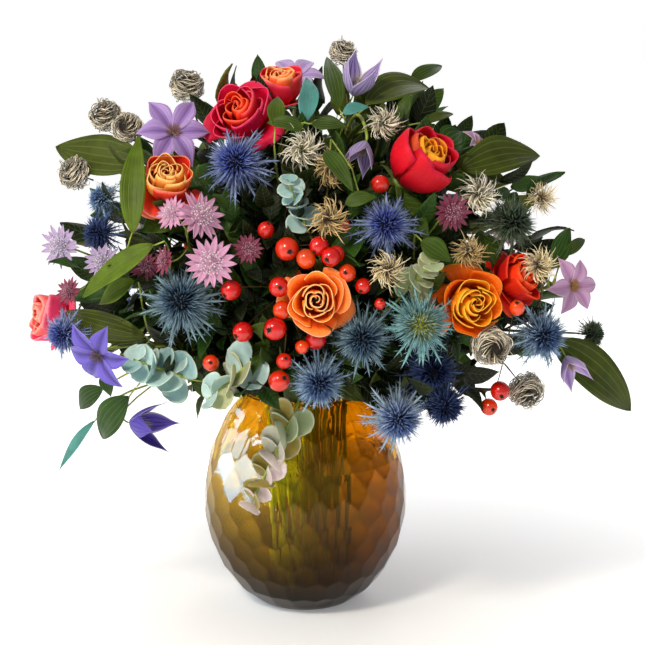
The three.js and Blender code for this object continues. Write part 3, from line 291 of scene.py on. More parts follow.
def lattice(rows, columns, wrap=False):
    """Quads over a grid of points that are numbered row by row."""
    i, j = np.mgrid[0:rows - 1, 0:columns if wrap else columns - 1]
    k = (j + 1) % columns
    corners = [i * columns + j, i * columns + k, (i + 1) * columns + k, (i + 1) * columns + j]
    return np.stack(corners, -1).reshape(-1, 4)


def fans(sides, first_pole, last_pole, first_ring, last_ring):
    """Triangles from two poles to the rings next to them, given the number of each ring's first point."""
    k = np.arange(sides)
    then = (k + 1) % sides
    return np.concatenate([np.stack([np.full(sides, first_pole), then + first_ring, k + first_ring], -1),
                           np.stack([np.full(sides, last_pole), k + last_ring, then + last_ring], -1)])


FACETED = ("glass",)  # the materials whose faces show flat


class Shape:
    """Points with a colour and marks each, and faces with a material each, for one piece.

    The marks of a point on a blade are how far across it lies (-1 to 1), how far along (0 to 1), and a
    number that is the blade's own. The materials draw veins and streaks from them.
    """

    def __init__(self):
        self.parts = []

    def add(self, points, faces, colours, look, marks=(0, 0, 0)):
        points = np.asarray(points, float).reshape(-1, 3)
        colours = np.broadcast_to(np.asarray(colours, float).reshape(-1, 3), points.shape)
        marks = np.broadcast_to(np.asarray(marks, float).reshape(-1, 3), points.shape)
        self.parts.append((points, [np.asarray(f) for f in faces if len(f)], colours, look, marks))

    def take(self, other, at=(0, 0, 0), way=(0, 0, 1)):
        """Adds all of another shape, which was made along +Z, standing at a place and facing a way."""
        turn = basis(vec(*way))
        for points, faces, colours, look, marks in other.parts:
            self.parts.append((points @ turn + vec(*at), faces, colours, look, marks))

    def made(self, name):
        """The piece as an object."""
        points, colours, marks, loops, sizes, looks = [], [], [], [], [], []
        names = sorted({part[3] for part in self.parts})
        count = 0
        for own, faces, tint, look, mark in self.parts:
            for group in faces:
                loops.append((group + count).ravel())
                sizes.append(np.full(len(group), group.shape[1]))
                looks.append(np.full(len(group), names.index(look)))
            points.append(own)
            colours.append(tint)
            marks.append(mark)
            count += len(own)
        sizes, loops, looks = (np.concatenate(each) for each in (sizes, loops, looks))
        rgba = np.concatenate([np.concatenate(colours), np.ones((count, 1))], 1)
        mesh = bpy.data.meshes.new(name)
        mesh.vertices.add(count)
        mesh.vertices.foreach_set("co", (np.concatenate(points) * MM).astype(np.float32).ravel())
        mesh.loops.add(len(loops))
        mesh.loops.foreach_set("vertex_index", loops.astype(np.int32))
        mesh.polygons.add(len(sizes))
        mesh.polygons.foreach_set("loop_start", np.concatenate([[0], np.cumsum(sizes)[:-1]]).astype(np.int32))
        mesh.polygons.foreach_set("material_index", looks.astype(np.int32))
        mesh.polygons.foreach_set("use_smooth", np.array([look not in FACETED for look in names])[looks])
        mesh.update(calc_edges=True)
        tint = mesh.color_attributes.new("Tint", "FLOAT_COLOR", "POINT")
        tint.data.foreach_set("color", rgba.astype(np.float32).ravel())
        mark = mesh.attributes.new("Marks", "FLOAT_VECTOR", "POINT")
        mark.data.foreach_set("vector", np.concatenate(marks).astype(np.float32).ravel())
        for look in names:
            mesh.materials.append(material(look))
        made = bpy.data.objects.new(name, mesh)
        bpy.context.scene.collection.objects.link(made)
        return made


def blade(shape, grid, thick, front, back, look, seed=0.0):
    """A closed thin blade over a grid of points [along, across], front towards across x along."""
    rows, columns = grid.shape[:2]
    half = unit(np.cross(np.gradient(grid, axis=1), np.gradient(grid, axis=0))) * thick / 2
    count = rows * columns
    faces = lattice(rows, columns)
    index = np.arange(count).reshape(rows, columns)
    edge = np.concatenate([index[0, :-1], index[:-1, -1], index[-1, :0:-1], index[:0:-1, 0]])
    then = np.roll(edge, -1)
    rim = np.stack([edge + count, then + count, then, edge], -1)
    t, s = sheet(rows, columns)
    marks = np.stack([s, t, np.full_like(s, seed)], -1).reshape(-1, 3)
    points = np.concatenate([(grid + half).reshape(-1, 3), (grid - half).reshape(-1, 3)])
    colours = np.concatenate([np.broadcast_to(c, grid.shape).reshape(-1, 3) for c in (front, back)])
    shape.add(points, [faces, faces[:, ::-1] + count, rim], colours, look, np.concatenate([marks, marks]))


def strands(shape, paths, radii, colours, look, sides=3, flat=1.0):
    """Many closed thin tubes at once, each through its own path of points and pointed at both ends.

    paths [strand, point, 3], radii and colours the same or fit to be spread over them. flat squeezes
    a tube one way.
    """
    paths = np.asarray(paths, float)
    strand_count, steps = paths.shape[:2]
    radii = np.broadcast_to(radii, (strand_count, steps))[..., None, None]
    along = unit(np.gradient(paths, axis=1))
    chord = unit(paths[:, -1] - paths[:, 0])
    spare = np.where(np.abs(chord[:, 2:3]) < 0.9, vec(0, 0, 1), vec(1, 0, 0))
    u = unit(np.cross(along, spare[:, None]))
    w = np.cross(along, u)
    angle = 2 * np.pi * np.arange(sides) / sides
    ring = np.cos(angle)[:, None] * u[:, :, None] + flat * np.sin(angle)[:, None] * w[:, :, None]
    rings = (paths[:, :, None] + radii * ring)[:, 1:-1].reshape(strand_count, -1, 3)
    points = np.concatenate([paths[:, :1], rings, paths[:, -1:]], 1)
    tints = np.broadcast_to(colours, paths.shape)
    ringed = np.repeat(tints[:, 1:-1], sides, axis=1)
    tints = np.concatenate([tints[:, :1], ringed, tints[:, -1:]], 1)
    last = 1 + (steps - 3) * sides
    groups = [lattice(steps - 2, sides, wrap=True) + 1, fans(sides, 0, last + sides, 1, last)]
    shift = (np.arange(strand_count) * points.shape[1])[:, None, None]
    faces = [(group[None] + shift).reshape(-1, group.shape[1]) for group in groups]
    shape.add(points, faces, tints.reshape(-1, 3), look)


def spikes(shape, roots, tips, radius, root_colour, tip_colour, look, bow=(0, 0, 0)):
    """Straight or slightly bowed strands that are thickest at a fifth of their length."""
    t = np.array([0, 0.2, 0.6, 1])[None, :, None]
    paths = mix(roots[:, None], tips[:, None], t) + np.asarray(bow) * 4 * t * (1 - t)
    width = np.array([0.6, 1, 0.72, 0.0])[None, :] * np.reshape(radius, (-1, 1))
    colours = mix(np.asarray(root_colour)[..., None, :], np.asarray(tip_colour)[..., None, :], t)
    strands(shape, paths, width, colours, look)


def spin(shape, profile, sides, colours, look):
    """A closed solid turned from a profile [r, z] that runs from its lower pole to its upper one."""
    profile = np.asarray(profile, float)
    angle = 2 * np.pi * np.arange(sides) / sides
    rings = polar(profile[1:-1, :1], angle[None], profile[1:-1, 1:])
    ends = np.array([[0, 0, profile[0, 1]], [0, 0, profile[-1, 1]]])
    inner = len(profile) - 2
    low = inner * sides
    faces = [lattice(inner, sides, wrap=True), fans(sides, low, low + 1, 0, low - sides)]
    tints = np.broadcast_to(colours, (len(profile), 3))
    tints = np.concatenate([np.repeat(tints[1:-1], sides, axis=0), tints[:1], tints[-1:]])
    shape.add(np.concatenate([rings.reshape(-1, 3), ends]), faces, tints, look)


BEAD = np.array([[1, 0, 0], [0, 1, 0], [-1, 0, 0], [0, -1, 0], [0, 0, 1], [0, 0, -1]])
BEAD_FACES = fans(4, 5, 4, 0, 0)


def beads(shape, centres, radius, colours, look):
    """Small eight-sided beads."""
    points = centres[:, None] + BEAD[None] * radius
    shift = (np.arange(len(centres)) * len(BEAD))[:, None, None]
    tints = np.repeat(np.broadcast_to(colours, centres.shape), len(BEAD), axis=0)
    shape.add(points, [(BEAD_FACES[None] + shift).reshape(-1, 3)], tints, look)

# ---- materials -----------------------------------------------------------------------------------


def fill(tree, made, inputs):
    """Sets each input of a node, or links it to another node's output."""
    for name, value in inputs.items():
        if isinstance(value, bpy.types.NodeSocket):
            tree.links.new(value, made.inputs[name])
        else:
            made.inputs[name].default_value = value


def node(tree, kind, inputs, **settings):
    made = tree.nodes.new("ShaderNode" + kind)
    for name, value in settings.items():
        setattr(made, name, value)
    fill(tree, made, inputs)
    return made


class Web:
    """A material and short ways to wire its nodes."""

    def __init__(self, name):
        self.material = bpy.data.materials.new(name)
        self.material.use_nodes = True
        self.tree = self.material.node_tree
        self.tint = self.node("Attribute", {}, attribute_name="Tint").outputs["Color"]
        marks = self.node("Attribute", {}, attribute_name="Marks").outputs["Vector"]
        self.across, self.along, self.seed = self.node("SeparateXYZ", {0: marks}).outputs
        self.place = self.node("TexCoord", {}).outputs["Object"]

    def node(self, kind, inputs, **settings):
        return node(self.tree, kind, inputs, **settings)

    def math(self, operation, a, b=0.0):
        return self.node("Math", {0: a, 1: b}, operation=operation).outputs[0]

    def ramp(self, value, low, high, start=0.0, end=1.0):
        """A value's run from low to high, as one from start to end."""
        return self.node("MapRange", {0: value, 1: low, 2: high, 3: start, 4: end}).outputs[0]

    def noise(self, scale, place=None):
        inputs = {"Vector": place or self.place, "Scale": scale, "Detail": 3.0}
        return self.node("TexNoise", inputs).outputs[0]

    def streaks(self, across, along):
        """Noise drawn out along a blade."""
        scales = ((self.across, across), (self.along, along), (self.seed, 37.0))
        parts = {i: self.math("MULTIPLY", *scale) for i, scale in enumerate(scales)}
        return self.noise(1.0, self.node("CombineXYZ", parts).outputs[0])

    def lengthwise(self, gap, width):
        """Lines that run along a blade: 1 on a line and 0 off it."""
        off = self.math("PINGPONG", self.math("ABSOLUTE", self.across), gap / 2)
        return self.ramp(off, 0.0, width, 1.0, 0.0)

    def feathered(self, count, slant, width):
        """A midrib and the side veins that leave it slanting forward."""
        out = self.math("ABSOLUTE", self.across)
        forward = self.math("MULTIPLY", self.along, float(count))
        line = self.math("SUBTRACT", forward, self.math("MULTIPLY", out, slant))
        side = self.ramp(self.math("PINGPONG", line, 0.5), 0.0, width, 1.0, 0.0)
        return self.math("MAXIMUM", side, self.ramp(out, 0.0, 0.05, 1.0, 0.0))

    def shaded(self, colour, amount):
        """A colour made lighter or darker."""
        return self.node("VectorMath", {0: colour, "Scale": amount}, operation="SCALE").outputs[0]

    def varied(self, grain, dark, light):
        """The piece's own colours, from dark to light of them where noise goes from low to high."""
        return self.shaded(self.tint, self.ramp(grain, 0.3, 0.7, dark, light))

    def mixed(self, share, a, b):
        return self.node("Mix", {0: share, 6: a, 7: b}, data_type="RGBA").outputs[2]

    def lined(self, lines, strength, colour, line_colour):
        return self.mixed(self.math("MULTIPLY", lines, strength), colour, line_colour)

    def bump(self, height, strength):
        return self.node("Bump", {"Height": height, "Strength": strength, "Distance": 0.0006}).outputs[0]

    def done(self, colour, values, soft=None):
        """The material. soft is how much light spreads inside it, its colour and how far it goes."""
        inputs = {"Base Color": colour, **values}
        if soft:
            inputs.update(zip(("Subsurface Weight", "Subsurface Radius", "Subsurface Scale"), soft))
        fill(self.tree, self.tree.nodes["Principled BSDF"], inputs)
        return self.material


def petal_look(web):
    grain = web.streaks(14.0, 1.2)
    values = {"Roughness": 0.55, "Specular IOR Level": 0.2, "Normal": web.bump(grain, 0.25)}
    return web.done(web.varied(grain, 0.86, 1.1), values, (0.12, (1.0, 0.3, 0.15), 0.003))


def tepal_look(web):
    grain = web.streaks(16.0, 1.5)
    ribs = web.lengthwise(0.3, 0.06)
    colour = web.varied(grain, 0.84, 1.12)
    values = {"Roughness": 0.5, "Specular IOR Level": 0.3, "Sheen Weight": 0.05,
              "Normal": web.bump(web.math("SUBTRACT", grain, ribs), 0.35)}
    colour = web.lined(ribs, 0.3, colour, web.shaded(colour, 0.5))
    return web.done(colour, values, (0.12, (0.6, 0.4, 1.0), 0.003))


def leaf_look(web, veins):
    mottle = web.noise(60.0)
    colour = web.varied(mottle, 0.75, 1.22)
    height = web.math("SUBTRACT", web.math("MULTIPLY", mottle, 0.4), veins)
    values = {"Roughness": 0.46, "Specular IOR Level": 0.18, "Normal": web.bump(height, 0.5)}
    vein_colour = web.mixed(0.5, colour, (0.2, 0.26, 0.06, 1.0))
    return web.done(web.lined(veins, 0.55, colour, vein_colour), values, (0.06, (0.3, 1.0, 0.1), 0.002))


def wax_look(web):
    mottle = web.noise(90.0)
    colour = web.varied(mottle, 0.86, 1.1)
    colour = web.lined(web.feathered(5, 1.2, 0.05), 0.3, colour, web.shaded(colour, 1.3))
    values = {"Roughness": 0.52, "Sheen Weight": 0.25, "Normal": web.bump(mottle, 0.15)}
    return web.done(colour, values, (0.1, (0.4, 1.0, 0.7), 0.003))


def paper_look(web):
    veins = web.lengthwise(0.42, 0.1)
    colour = web.lined(veins, 0.4, web.tint, web.shaded(web.tint, 0.55))
    values = {"Roughness": 0.6, "Normal": web.bump(veins, 0.3)}
    return web.done(colour, values, (0.15, (1.0, 0.5, 0.6), 0.002))


def plain_look(web, scale, spread, values, soft=None):
    return web.done(web.varied(web.noise(scale), 1 - spread, 1 + spread), values, soft)


LOOKS = {
    "petal": petal_look,
    "tepal": tepal_look,
    "paper": paper_look,
    "broad_leaf": lambda web: leaf_look(web, web.lengthwise(0.36, 0.05)),
    "toothed_leaf": lambda web: leaf_look(web, web.feathered(8, 1.5, 0.09)),
    "wax_leaf": wax_look,
    "stem": lambda web: plain_look(web, 120.0, 0.25, {"Roughness": 0.5}),
    "needle": lambda web: plain_look(web, 160.0, 0.2, {"Roughness": 0.45, "Specular IOR Level": 0.3}),
    "silk": lambda web: plain_look(web, 200.0, 0.18, {"Roughness": 0.45, "Sheen Weight": 0.3}),
    "husk": lambda web: plain_look(web, 300.0, 0.35, {"Roughness": 0.8}),
    "fruit": lambda web: plain_look(
        web, 90.0, 0.14, {"Roughness": 0.25, "Coat Weight": 0.35, "Coat Roughness": 0.05},
        (0.04, (1.0, 0.2, 0.1), 0.003)),
    "glass": lambda web: web.done(web.tint, {"Roughness": 0.03, "Transmission Weight": 0.94, "IOR": 1.22}),
    "water": lambda web: web.done(web.tint, {"Roughness": 0.0, "Transmission Weight": 1.0, "IOR": 1.16}),
}
made_looks = {}


def material(look):
    if look not in made_looks:
        made_looks[look] = LOOKS[look](Web(look))
    return made_looks[look]

# ---- flower heads, each made along +Z with its middle at the origin -------------------------------


def through(points, t):
    """The parabola through three points, at 0, 0.5 and 1."""
    a, b, c = (np.asarray(p, float) for p in points)
    t = t[..., None]
    return a * (1 - t) * (1 - 2 * t) + b * 4 * t * (1 - t) + c * t * (2 * t - 1)


# From the foot of a petal to its face and its rim; then the outermost petals' face and rim.
# The foot colour is painted shade: the dark that the petals take deep in the cup.
ROSE_COLOURS = palettes({
    "orange": "ee5408 ff9830 ffe4a4 ff8230 ffbca0",
    "amber": "ec5c04 ffa00c ffdc50 ff7008 ffa838",
    "coral": "e84c0c ff9a38 ffec9c e8301c ffa484",
    "crimson": "c80810 f4301c ff7c48 d40c40 f85c88",
    "sunset": "e02c0c ff5a24 ffe49a e8203c ff6a7c",
    "ruby": "e04804 ff9810 ffc438 c8041c e0284c",
    "pink": "e0304c ff6a6a ffc0a8 e83a6a ffb0b8",
    "scarlet": "c81408 f8380e ff7a34 d81a10 ff5c30",
})
# The share of the petals at which the outermost colours start, where it isn't OUTER_FROM.
OUTER_FROM = 0.66
OWN_OUTER_FROM = {"ruby": 0.42, "crimson": 0.4, "coral": 0.7}
PETALS = 17


def rose(radius, openness, palette, seed, skirt):
    """Petals that spiral out of a bud, each with a pointed rim that turns back, and a skirt of low ones."""
    rng = np.random.default_rng(seed)
    shape = Shape()
    foot, face, rim, outer_face, outer_rim = ROSE_COLOURS[palette]
    outer_from = OWN_OUTER_FROM.get(palette, OUTER_FROM)
    t, a = sheet(12, 17)
    for k in range(PETALS + skirt):
        q = min(1, k / (PETALS - 1))  # from 0 at the bud's middle to 1 at the outermost petal
        lip = mix(0.07, 0.6 + 0.36 * openness, q ** 1.1) * rng.uniform(0.92, 1.08)
        top = mix(0.5, 0.68 - 0.42 * openness, q ** 1.6) + 0.08 * math.sin(math.pi * q)
        top += rng.uniform(-0.05, 0.05)
        belly = mix(0.14, 0.82, q ** 0.8)
        line = through([(mix(0.08, 0.3, q), -0.66), (belly, mix(0.12, -0.1, q)), (lip, top)], t)
        if k >= PETALS:
            line = through([(0.24, -0.66), (0.86, -0.34), (1.1, rng.uniform(-0.5, 0.0))], t)
        r, z = line[..., 0], line[..., 1]
        lean = rng.uniform(-0.25, 0.25)
        off = np.abs(a - lean)
        z = z - mix(0.1, 0.34, q) * mix(0.4, 1, openness) * off ** 2.4 * t ** 2
        z = z + 0.07 * q * np.maximum(0, 1 - 2 * off) * t ** 3
        curl = smooth(0.68, 1, t) * (0.2 + q) * (0.45 + 0.55 * openness) * (1 - 0.55 * off ** 2)
        wave = np.sin(rng.uniform(3.5, 6) * a + rng.uniform(0, 6)) * t ** 3
        r = r + 0.13 * curl + 0.05 * (0.3 + q) * wave
        r = r + mix(0.05, 0.12, q) * a * t - 0.16 * q ** 0.6 * off ** 2 * t
        z = z - 0.12 * curl ** 2 + 0.025 * wave + rng.uniform(-0.08, 0.08) * a * t
        half = mix(105, 52, q ** 0.4) * DEG * mix(0.75, 1, smooth(0, 0.5, t))
        angle = GOLDEN_ANGLE * k + a * half + rng.uniform(-0.35, 0.35)
        grid = polar(r * radius, angle, z * radius) + vec(*rng.normal(0, 0.02, 2), 0) * radius
        edge = smooth(0.88, 1, np.maximum(t, np.abs(a) * (0.4 + 0.6 * t)))[..., None]
        outer = smooth(outer_from, outer_from + 0.2, q)
        own_face = mix(face, outer_face, outer) * rng.uniform(0.82, 1.14)
        own_rim = mix(rim, outer_rim, outer)
        # Painted shade: the cup side darkens to the foot colour deep between the petals, and the outside
        # darkens towards the foot, under the petals round it.
        inner = mix(foot, own_face, smooth(mix(0.55, 0.15, q), mix(0.95, 0.8, q), t)[..., None])
        under = own_face * mix(0.55, 1, smooth(0, 0.7, t))[..., None]
        front, back = mix(under, own_rim, 0.6 * edge), mix(inner, own_rim, 0.8 * edge)
        blade(shape, grid, 0.5, front, back, "petal", k + seed)
    return shape


# The florets' foot and tip, the needles' foot and tip, and the bracts.
THISTLE_COLOURS = palettes({
    "violet": "0a1030 3c54c4 182660 98aadc 44545c",
    "blue": "0c1630 34589c 183050 9cbcdc 40584c",
    "steel": "081420 264c74 142c3c 8cacbc 384e44",
    "teal": "c4c430 3a7ca4 1c4854 94c8cc 345c4c",
    "navy": "080e20 1e3268 101e3c 485e94 24323a",
    "pale": "1c3056 5878c0 34548a b0c4e4 6c8880",
    "green": "0c140e 3c5444 1c2a1e 748468 303c24",
})
FLORETS, NEEDLES, BRACTS = 300, 540, 26  # of the needles, those up among the florets are left out


def thistle(radius, palette, seed):
    """A cone of short florets in a burst of needles, over a ruff of toothed bracts."""
    rng = np.random.default_rng(seed)
    shape = Shape()
    core, floret, needle, tip, bract = THISTLE_COLOURS[palette]
    profile = [[0, -0.36], [0.2, -0.32], [0.33, -0.15], [0.34, 0.05], [0.25, 0.27], [0.12, 0.38], [0, 0.42]]
    spin(shape, np.array(profile) * radius, 12, core * 0.6, "husk")

    ways = jitter(rng, cap(FLORETS, 105 * DEG), 0.05)
    roots = ways * vec(0.31, 0.31, 0.4) * radius
    reach = rng.uniform(0.26, 0.42, (FLORETS, 1)) * radius
    ends = roots + unit(ways + vec(0, 0, 0.2)) * reach
    lit = rng.uniform(0.6, 1.3, (FLORETS, 1))
    spikes(shape, roots, ends, 0.85, core * lit, mix(floret, tip, 0.25) * lit, "needle")

    ways = cap(NEEDLES, 130 * DEG)
    ways = jitter(rng, ways[ways[:, 2] < 0.66], 0.09)
    count = len(ways)
    long = rng.uniform(0.66, 1.02, (count, 1)) * radius
    lit = rng.uniform(0.5, 1.3, (count, 1))
    bow = rng.normal(0, 0.02 * radius, (count, 1, 3))
    spikes(shape, ways * 0.3 * radius, ways * long, 0.62, needle * lit, tip * lit, "needle", bow)

    angle = GOLDEN_ANGLE * np.arange(BRACTS) + rng.normal(0, 0.1, BRACTS)
    droop = rng.uniform(-50, 5, BRACTS) * DEG
    ways = polar(np.cos(droop), angle, np.sin(droop))
    long = rng.uniform(0.95, 1.3, (BRACTS, 1)) * radius
    roots = ways * vec(0.25, 0.25, 0.2) * radius + vec(0, 0, -0.14 * radius)
    ends = roots + ways * long
    t = np.array([0, 0.15, 0.45, 0.75, 1])[None, :, None]
    paths = mix(roots[:, None], ends[:, None], t) + vec(0, 0, 0.1 * radius) * 4 * t * (1 - t)
    colours = mix(bract, tip, t) * rng.uniform(0.7, 1.2, (BRACTS, 1, 1))
    widths = np.array([0.5, 1.1, 1.2, 0.75, 0])[None] * radius / 24
    strands(shape, paths, widths, colours, "needle", 4, flat=0.4)
    for share in (0.3, 0.5, 0.7):
        start = mix(roots, ends, share) + vec(0, 0, 0.4 * radius * share * (1 - share))
        for hand in (-1, 1):
            side = unit(np.cross(ways, vec(0, 0, 1))) * hand
            tooth = start + (side + ways * 0.9) * 0.16 * radius
            spikes(shape, start, tooth, 0.4 * radius / 24, bract, tip, "needle")
    return shape


# A tail's foot, its middle and its end.
SEED_COLOURS = palettes({
    "ball": "2c1e0c b09c70 fff6e0",
    "white": "5a5a34 c4b890 fcf4dc",
    "gold": "3c2a0e a08040 e0c07c",
    "cream": "4a3a1c c0a46c f8e6b4",
})


def seedhead(radius, palette, seed):
    """Silky tails: wound round into a ball, or bursting out and curling over."""
    rng = np.random.default_rng(seed)
    shape = Shape()
    dark, mid, light = SEED_COLOURS[palette]
    beads(shape, cap(60, 160 * DEG) * 0.2 * radius, 0.09 * radius, dark, "husk")
    ball = palette == "ball"
    count, dark_share = (230, 0.35) if ball else (140, 0.12)
    ways = jitter(rng, cap(count, 150 * DEG), 0.12)
    around = unit(np.cross(vec(0, 0, 1), ways) + rng.normal(0, 0.12, ways.shape))
    t = np.linspace(0, 1, 9)[None, :, None]
    if ball:
        profile = [[0, -0.7], [0.44, -0.54], [0.67, -0.1], [0.54, 0.44], [0, 0.67]]
        spin(shape, np.array(profile) * radius, 10, dark * 0.6, "husk")
        sweep = rng.uniform(1.0, 1.7, (count, 1, 1)) * t
        line = ways[:, None] * np.cos(sweep) + around[:, None] * np.sin(sweep)
        paths = line * (mix(0.7, 1.02, np.sin(t * np.pi) ** 0.5) * radius)
        paths = paths + rng.normal(0, 0.02 * radius, (count, 1, 3))
    else:
        reach = rng.uniform(0.7, 1.16, (count, 1, 1)) * radius
        around = unit(around + rng.normal(0, 0.8, around.shape))
        paths = ways[:, None] * (0.16 * radius + reach * t ** 0.85)
        paths = paths + around[:, None] * reach * 0.55 * t ** 2.2
        paths = paths - ways[:, None] * reach * 0.3 * t ** 4 + vec(0, 0, 0.1 * radius) * t
    widths = np.array([0.5, 0.8, 0.9, 0.9, 0.85, 0.75, 0.6, 0.4, 0])[None]
    widths = widths * rng.uniform(0.42, 0.72, (count, 1))
    lit = rng.uniform(0.7, 1.15, (count, 1, 1)) * np.where(rng.random((count, 1, 1)) < dark_share, 0.25, 1)
    tints = mix(mix(dark, mid, smooth(0, 0.25, t)), light, smooth(0.15, 0.6, t)) * lit
    strands(shape, paths, widths * radius / 17, tints, "silk")
    return shape


# A bract's foot, its face and its tip, and the pins' ends.
ASTRANTIA_COLOURS = palettes({
    "pink": "fcf0f4 e0a8cc 9c647c fff0f8",
    "lilac": "f4f0f8 c8b0dc 74707c fcf8ff",
    "ruby": "a4506c 8c3454 5a2a34 d8a0b4",
})
PAPERY_BRACTS, PINS = 18, 70


def astrantia(radius, palette, seed):
    """A star of papery bracts round a cushion of pin-like florets."""
    rng = np.random.default_rng(seed)
    shape = Shape()
    inner, outer, tip, pin = ASTRANTIA_COLOURS[palette]
    t, a = sheet(8, 5)
    half = 0.15 * radius * (1 - t ** 2.6) * mix(0.55, 1, smooth(0, 0.5, t))
    for k in range(PAPERY_BRACTS):
        lower = k % 2
        angle = (k * 360 / PAPERY_BRACTS + rng.normal(0, 3)) * DEG
        long = (0.98 - 0.1 * lower + rng.uniform(-0.06, 0.06)) * radius
        rise = 0.06 * radius * (1 - lower) + 0.24 * radius * t ** 1.4 - 0.1 * radius * t ** 3
        grid = spoke(angle, mix(0.2 * radius, long, t), a * half, rise + 0.05 * radius * np.abs(a))
        front = mix(inner, outer, smooth(0.1, 0.8, t)[..., None])
        front = mix(front, tip, smooth(0.78, 1, t)[..., None]) * rng.uniform(0.85, 1.1)
        blade(shape, grid, 0.4, front, mix(outer, tip, 0.35), "paper", k + seed)
    cushion = [[0, -0.3], [0.12, -0.26], [0.24, 0], [0.26, 0.14], [0.14, 0.24], [0, 0.28]]
    spin(shape, np.array(cushion) * radius, 10, mix(outer, tip, 0.5), "paper")
    ways = jitter(rng, cap(PINS, 72 * DEG), 0.08)
    roots = ways * 0.16 * radius + vec(0, 0, 0.08 * radius)
    ends = roots + ways * rng.uniform(0.24, 0.4, (PINS, 1)) * radius
    spikes(shape, roots, ends, 0.2, outer, pin, "paper")
    beads(shape, ends, 0.035 * radius, pin * rng.uniform(0.7, 1, (PINS, 1)), "paper")
    return shape


HIP_RED, HIP_ORANGE = rgb("c80802"), rgb("e64604")
SEPALS = 7


def hip(radius, seed):
    """A glossy round fruit with the dry remains of its flower at the end."""
    rng = np.random.default_rng(seed)
    shape = Shape()
    red = mix(HIP_RED, HIP_ORANGE, rng.uniform(0, 1) ** 2)
    turn = np.linspace(-np.pi / 2, np.pi / 2, 13)
    profile = np.stack([np.cos(turn), 1.06 * np.sin(turn)], -1)
    profile[-2:, 1] -= [0.01, 0.08]
    spin(shape, profile * radius, 20, mix(red * 0.75, red, smooth(-1, 0.4, profile[:, 1:])), "fruit")
    eye = vec(0, 0, 0.95 * radius) + vec(0, 0, 0.06 * radius)
    beads(shape, eye[None], 0.2 * radius, rgb("1c0f08"), "husk")
    angle = np.arange(SEPALS) * 2 * np.pi / SEPALS
    ends = polar(rng.uniform(0.18, 0.4, SEPALS), angle, rng.uniform(1.1, 1.36, SEPALS)) * radius
    roots = polar(0.1, angle, 0.98) * radius
    spikes(shape, roots, ends, 0.075 * radius, rgb("24130a"), rgb("5a3a1e"), "husk")
    return shape


# A tepal's middle bar, its face, its rim and its back, and the stamens.
CLEMATIS_COLOURS = palettes({
    "lavender": "5c2c84 b08cc8 e0ccec a88cc8 c07c3c",
    "violet": "200c5c 5844b8 c0bcf4 6c5cc0 4c2c28",
    "mauve": "a8709c d8b0d0 f6e6f0 c49cc0 e8a83c",
    "lilac": "9c7cc0 c8b0e0 e8dcf4 bca6d8 c0a070",
    "striped": "2c1c70 a894cc f4ecf4 b4a4d4 e8dca0",
    "dusky": "4c3470 9484b8 ccc0dc a090bc c0a070",
    "deep": "2c1c70 5c4ab4 cfc4f0 5040a8 d8d0a0",
})
STRIPED = ("striped", "deep", "dusky")  # those whose bar is five narrow ones
CLEMATIS_BUD = rgb("6c7a3c")


def tepal(shape, grid, palette, seed, s, t):
    bar, face, rim, back, _ = CLEMATIS_COLOURS[palette]
    striped = palette in STRIPED
    middle = smooth(0, 0.7, np.cos(5 * np.pi * s)) if striped else 1 - smooth(0.1, 0.42, np.abs(s))
    middle = middle * smooth(0.02, 0.2, t) * (1 - smooth(0.8, 1, t))
    front = mix(mix(face, rim, smooth(0.6, 1, np.abs(s))[..., None]), bar, 0.85 * middle[..., None])
    front = mix(rim, front, smooth(0, 0.22, t)[..., None])
    blade(shape, grid, 0.6, front, mix(back, bar, 0.7 * middle[..., None]), "tepal", seed)


def clematis_heart(shape, rng, palette, receptacle, wide, long, count):
    """The receptacle that the tepals spring from, and the stamens on it."""
    spin(shape, np.array(receptacle), 8, CLEMATIS_BUD, "stem")
    yellow = CLEMATIS_COLOURS[palette][-1]
    ways = jitter(rng, cap(count, 58 * DEG), 0.06)
    roots = ways * vec(0.35, 0.35, 0.1) * wide
    bow = ways[:, None] * vec(0.2, 0.2, 0) * wide
    filament = mix(yellow, rgb("e8dcc8"), 0.4)
    spikes(shape, roots, ways * vec(wide, wide, long), 0.42, filament, yellow * 0.6, "paper", bow)


def clematis_open(radius, palette, seed):
    """Six tepals that lie open round their stamens."""
    rng = np.random.default_rng(seed)
    shape = Shape()
    t, s = sheet(16, 9)
    outline = 0.27 * radius * np.sin(np.pi * np.clip(0.08 + 0.92 * t, 0, 1) ** 1.1) * (1 - 0.4 * t ** 4)
    for k in range(6):
        angle = (k * 60 + rng.normal(0, 2.5)) * DEG
        long = radius * rng.uniform(0.9, 1.04)
        half = outline * (1 + 0.04 * np.sin(9 * t + k))
        rise = radius * (0.12 * np.sin(np.pi * t * 0.9) - 0.06 * t ** 3 + 0.03 * (k % 2))
        rise = rise + 0.09 * radius * np.abs(s) ** 1.3 * np.sin(np.pi * t)
        rise = rise + rng.uniform(-0.16, 0.1) * radius * t ** 2
        twist = rng.uniform(-0.12, 0.12) * s * half * t
        grid = spoke(angle, mix(0.04 * radius, long, t), s * half, rise + twist)
        tepal(shape, grid, palette, k + seed, s, t)
    receptacle = [[0, -3], [1.6, -2.2], [2.4, 0], [1.6, 1.8], [0, 2.4]]
    clematis_heart(shape, rng, palette, receptacle, 0.26 * radius, 0.3 * radius, 60)
    return shape


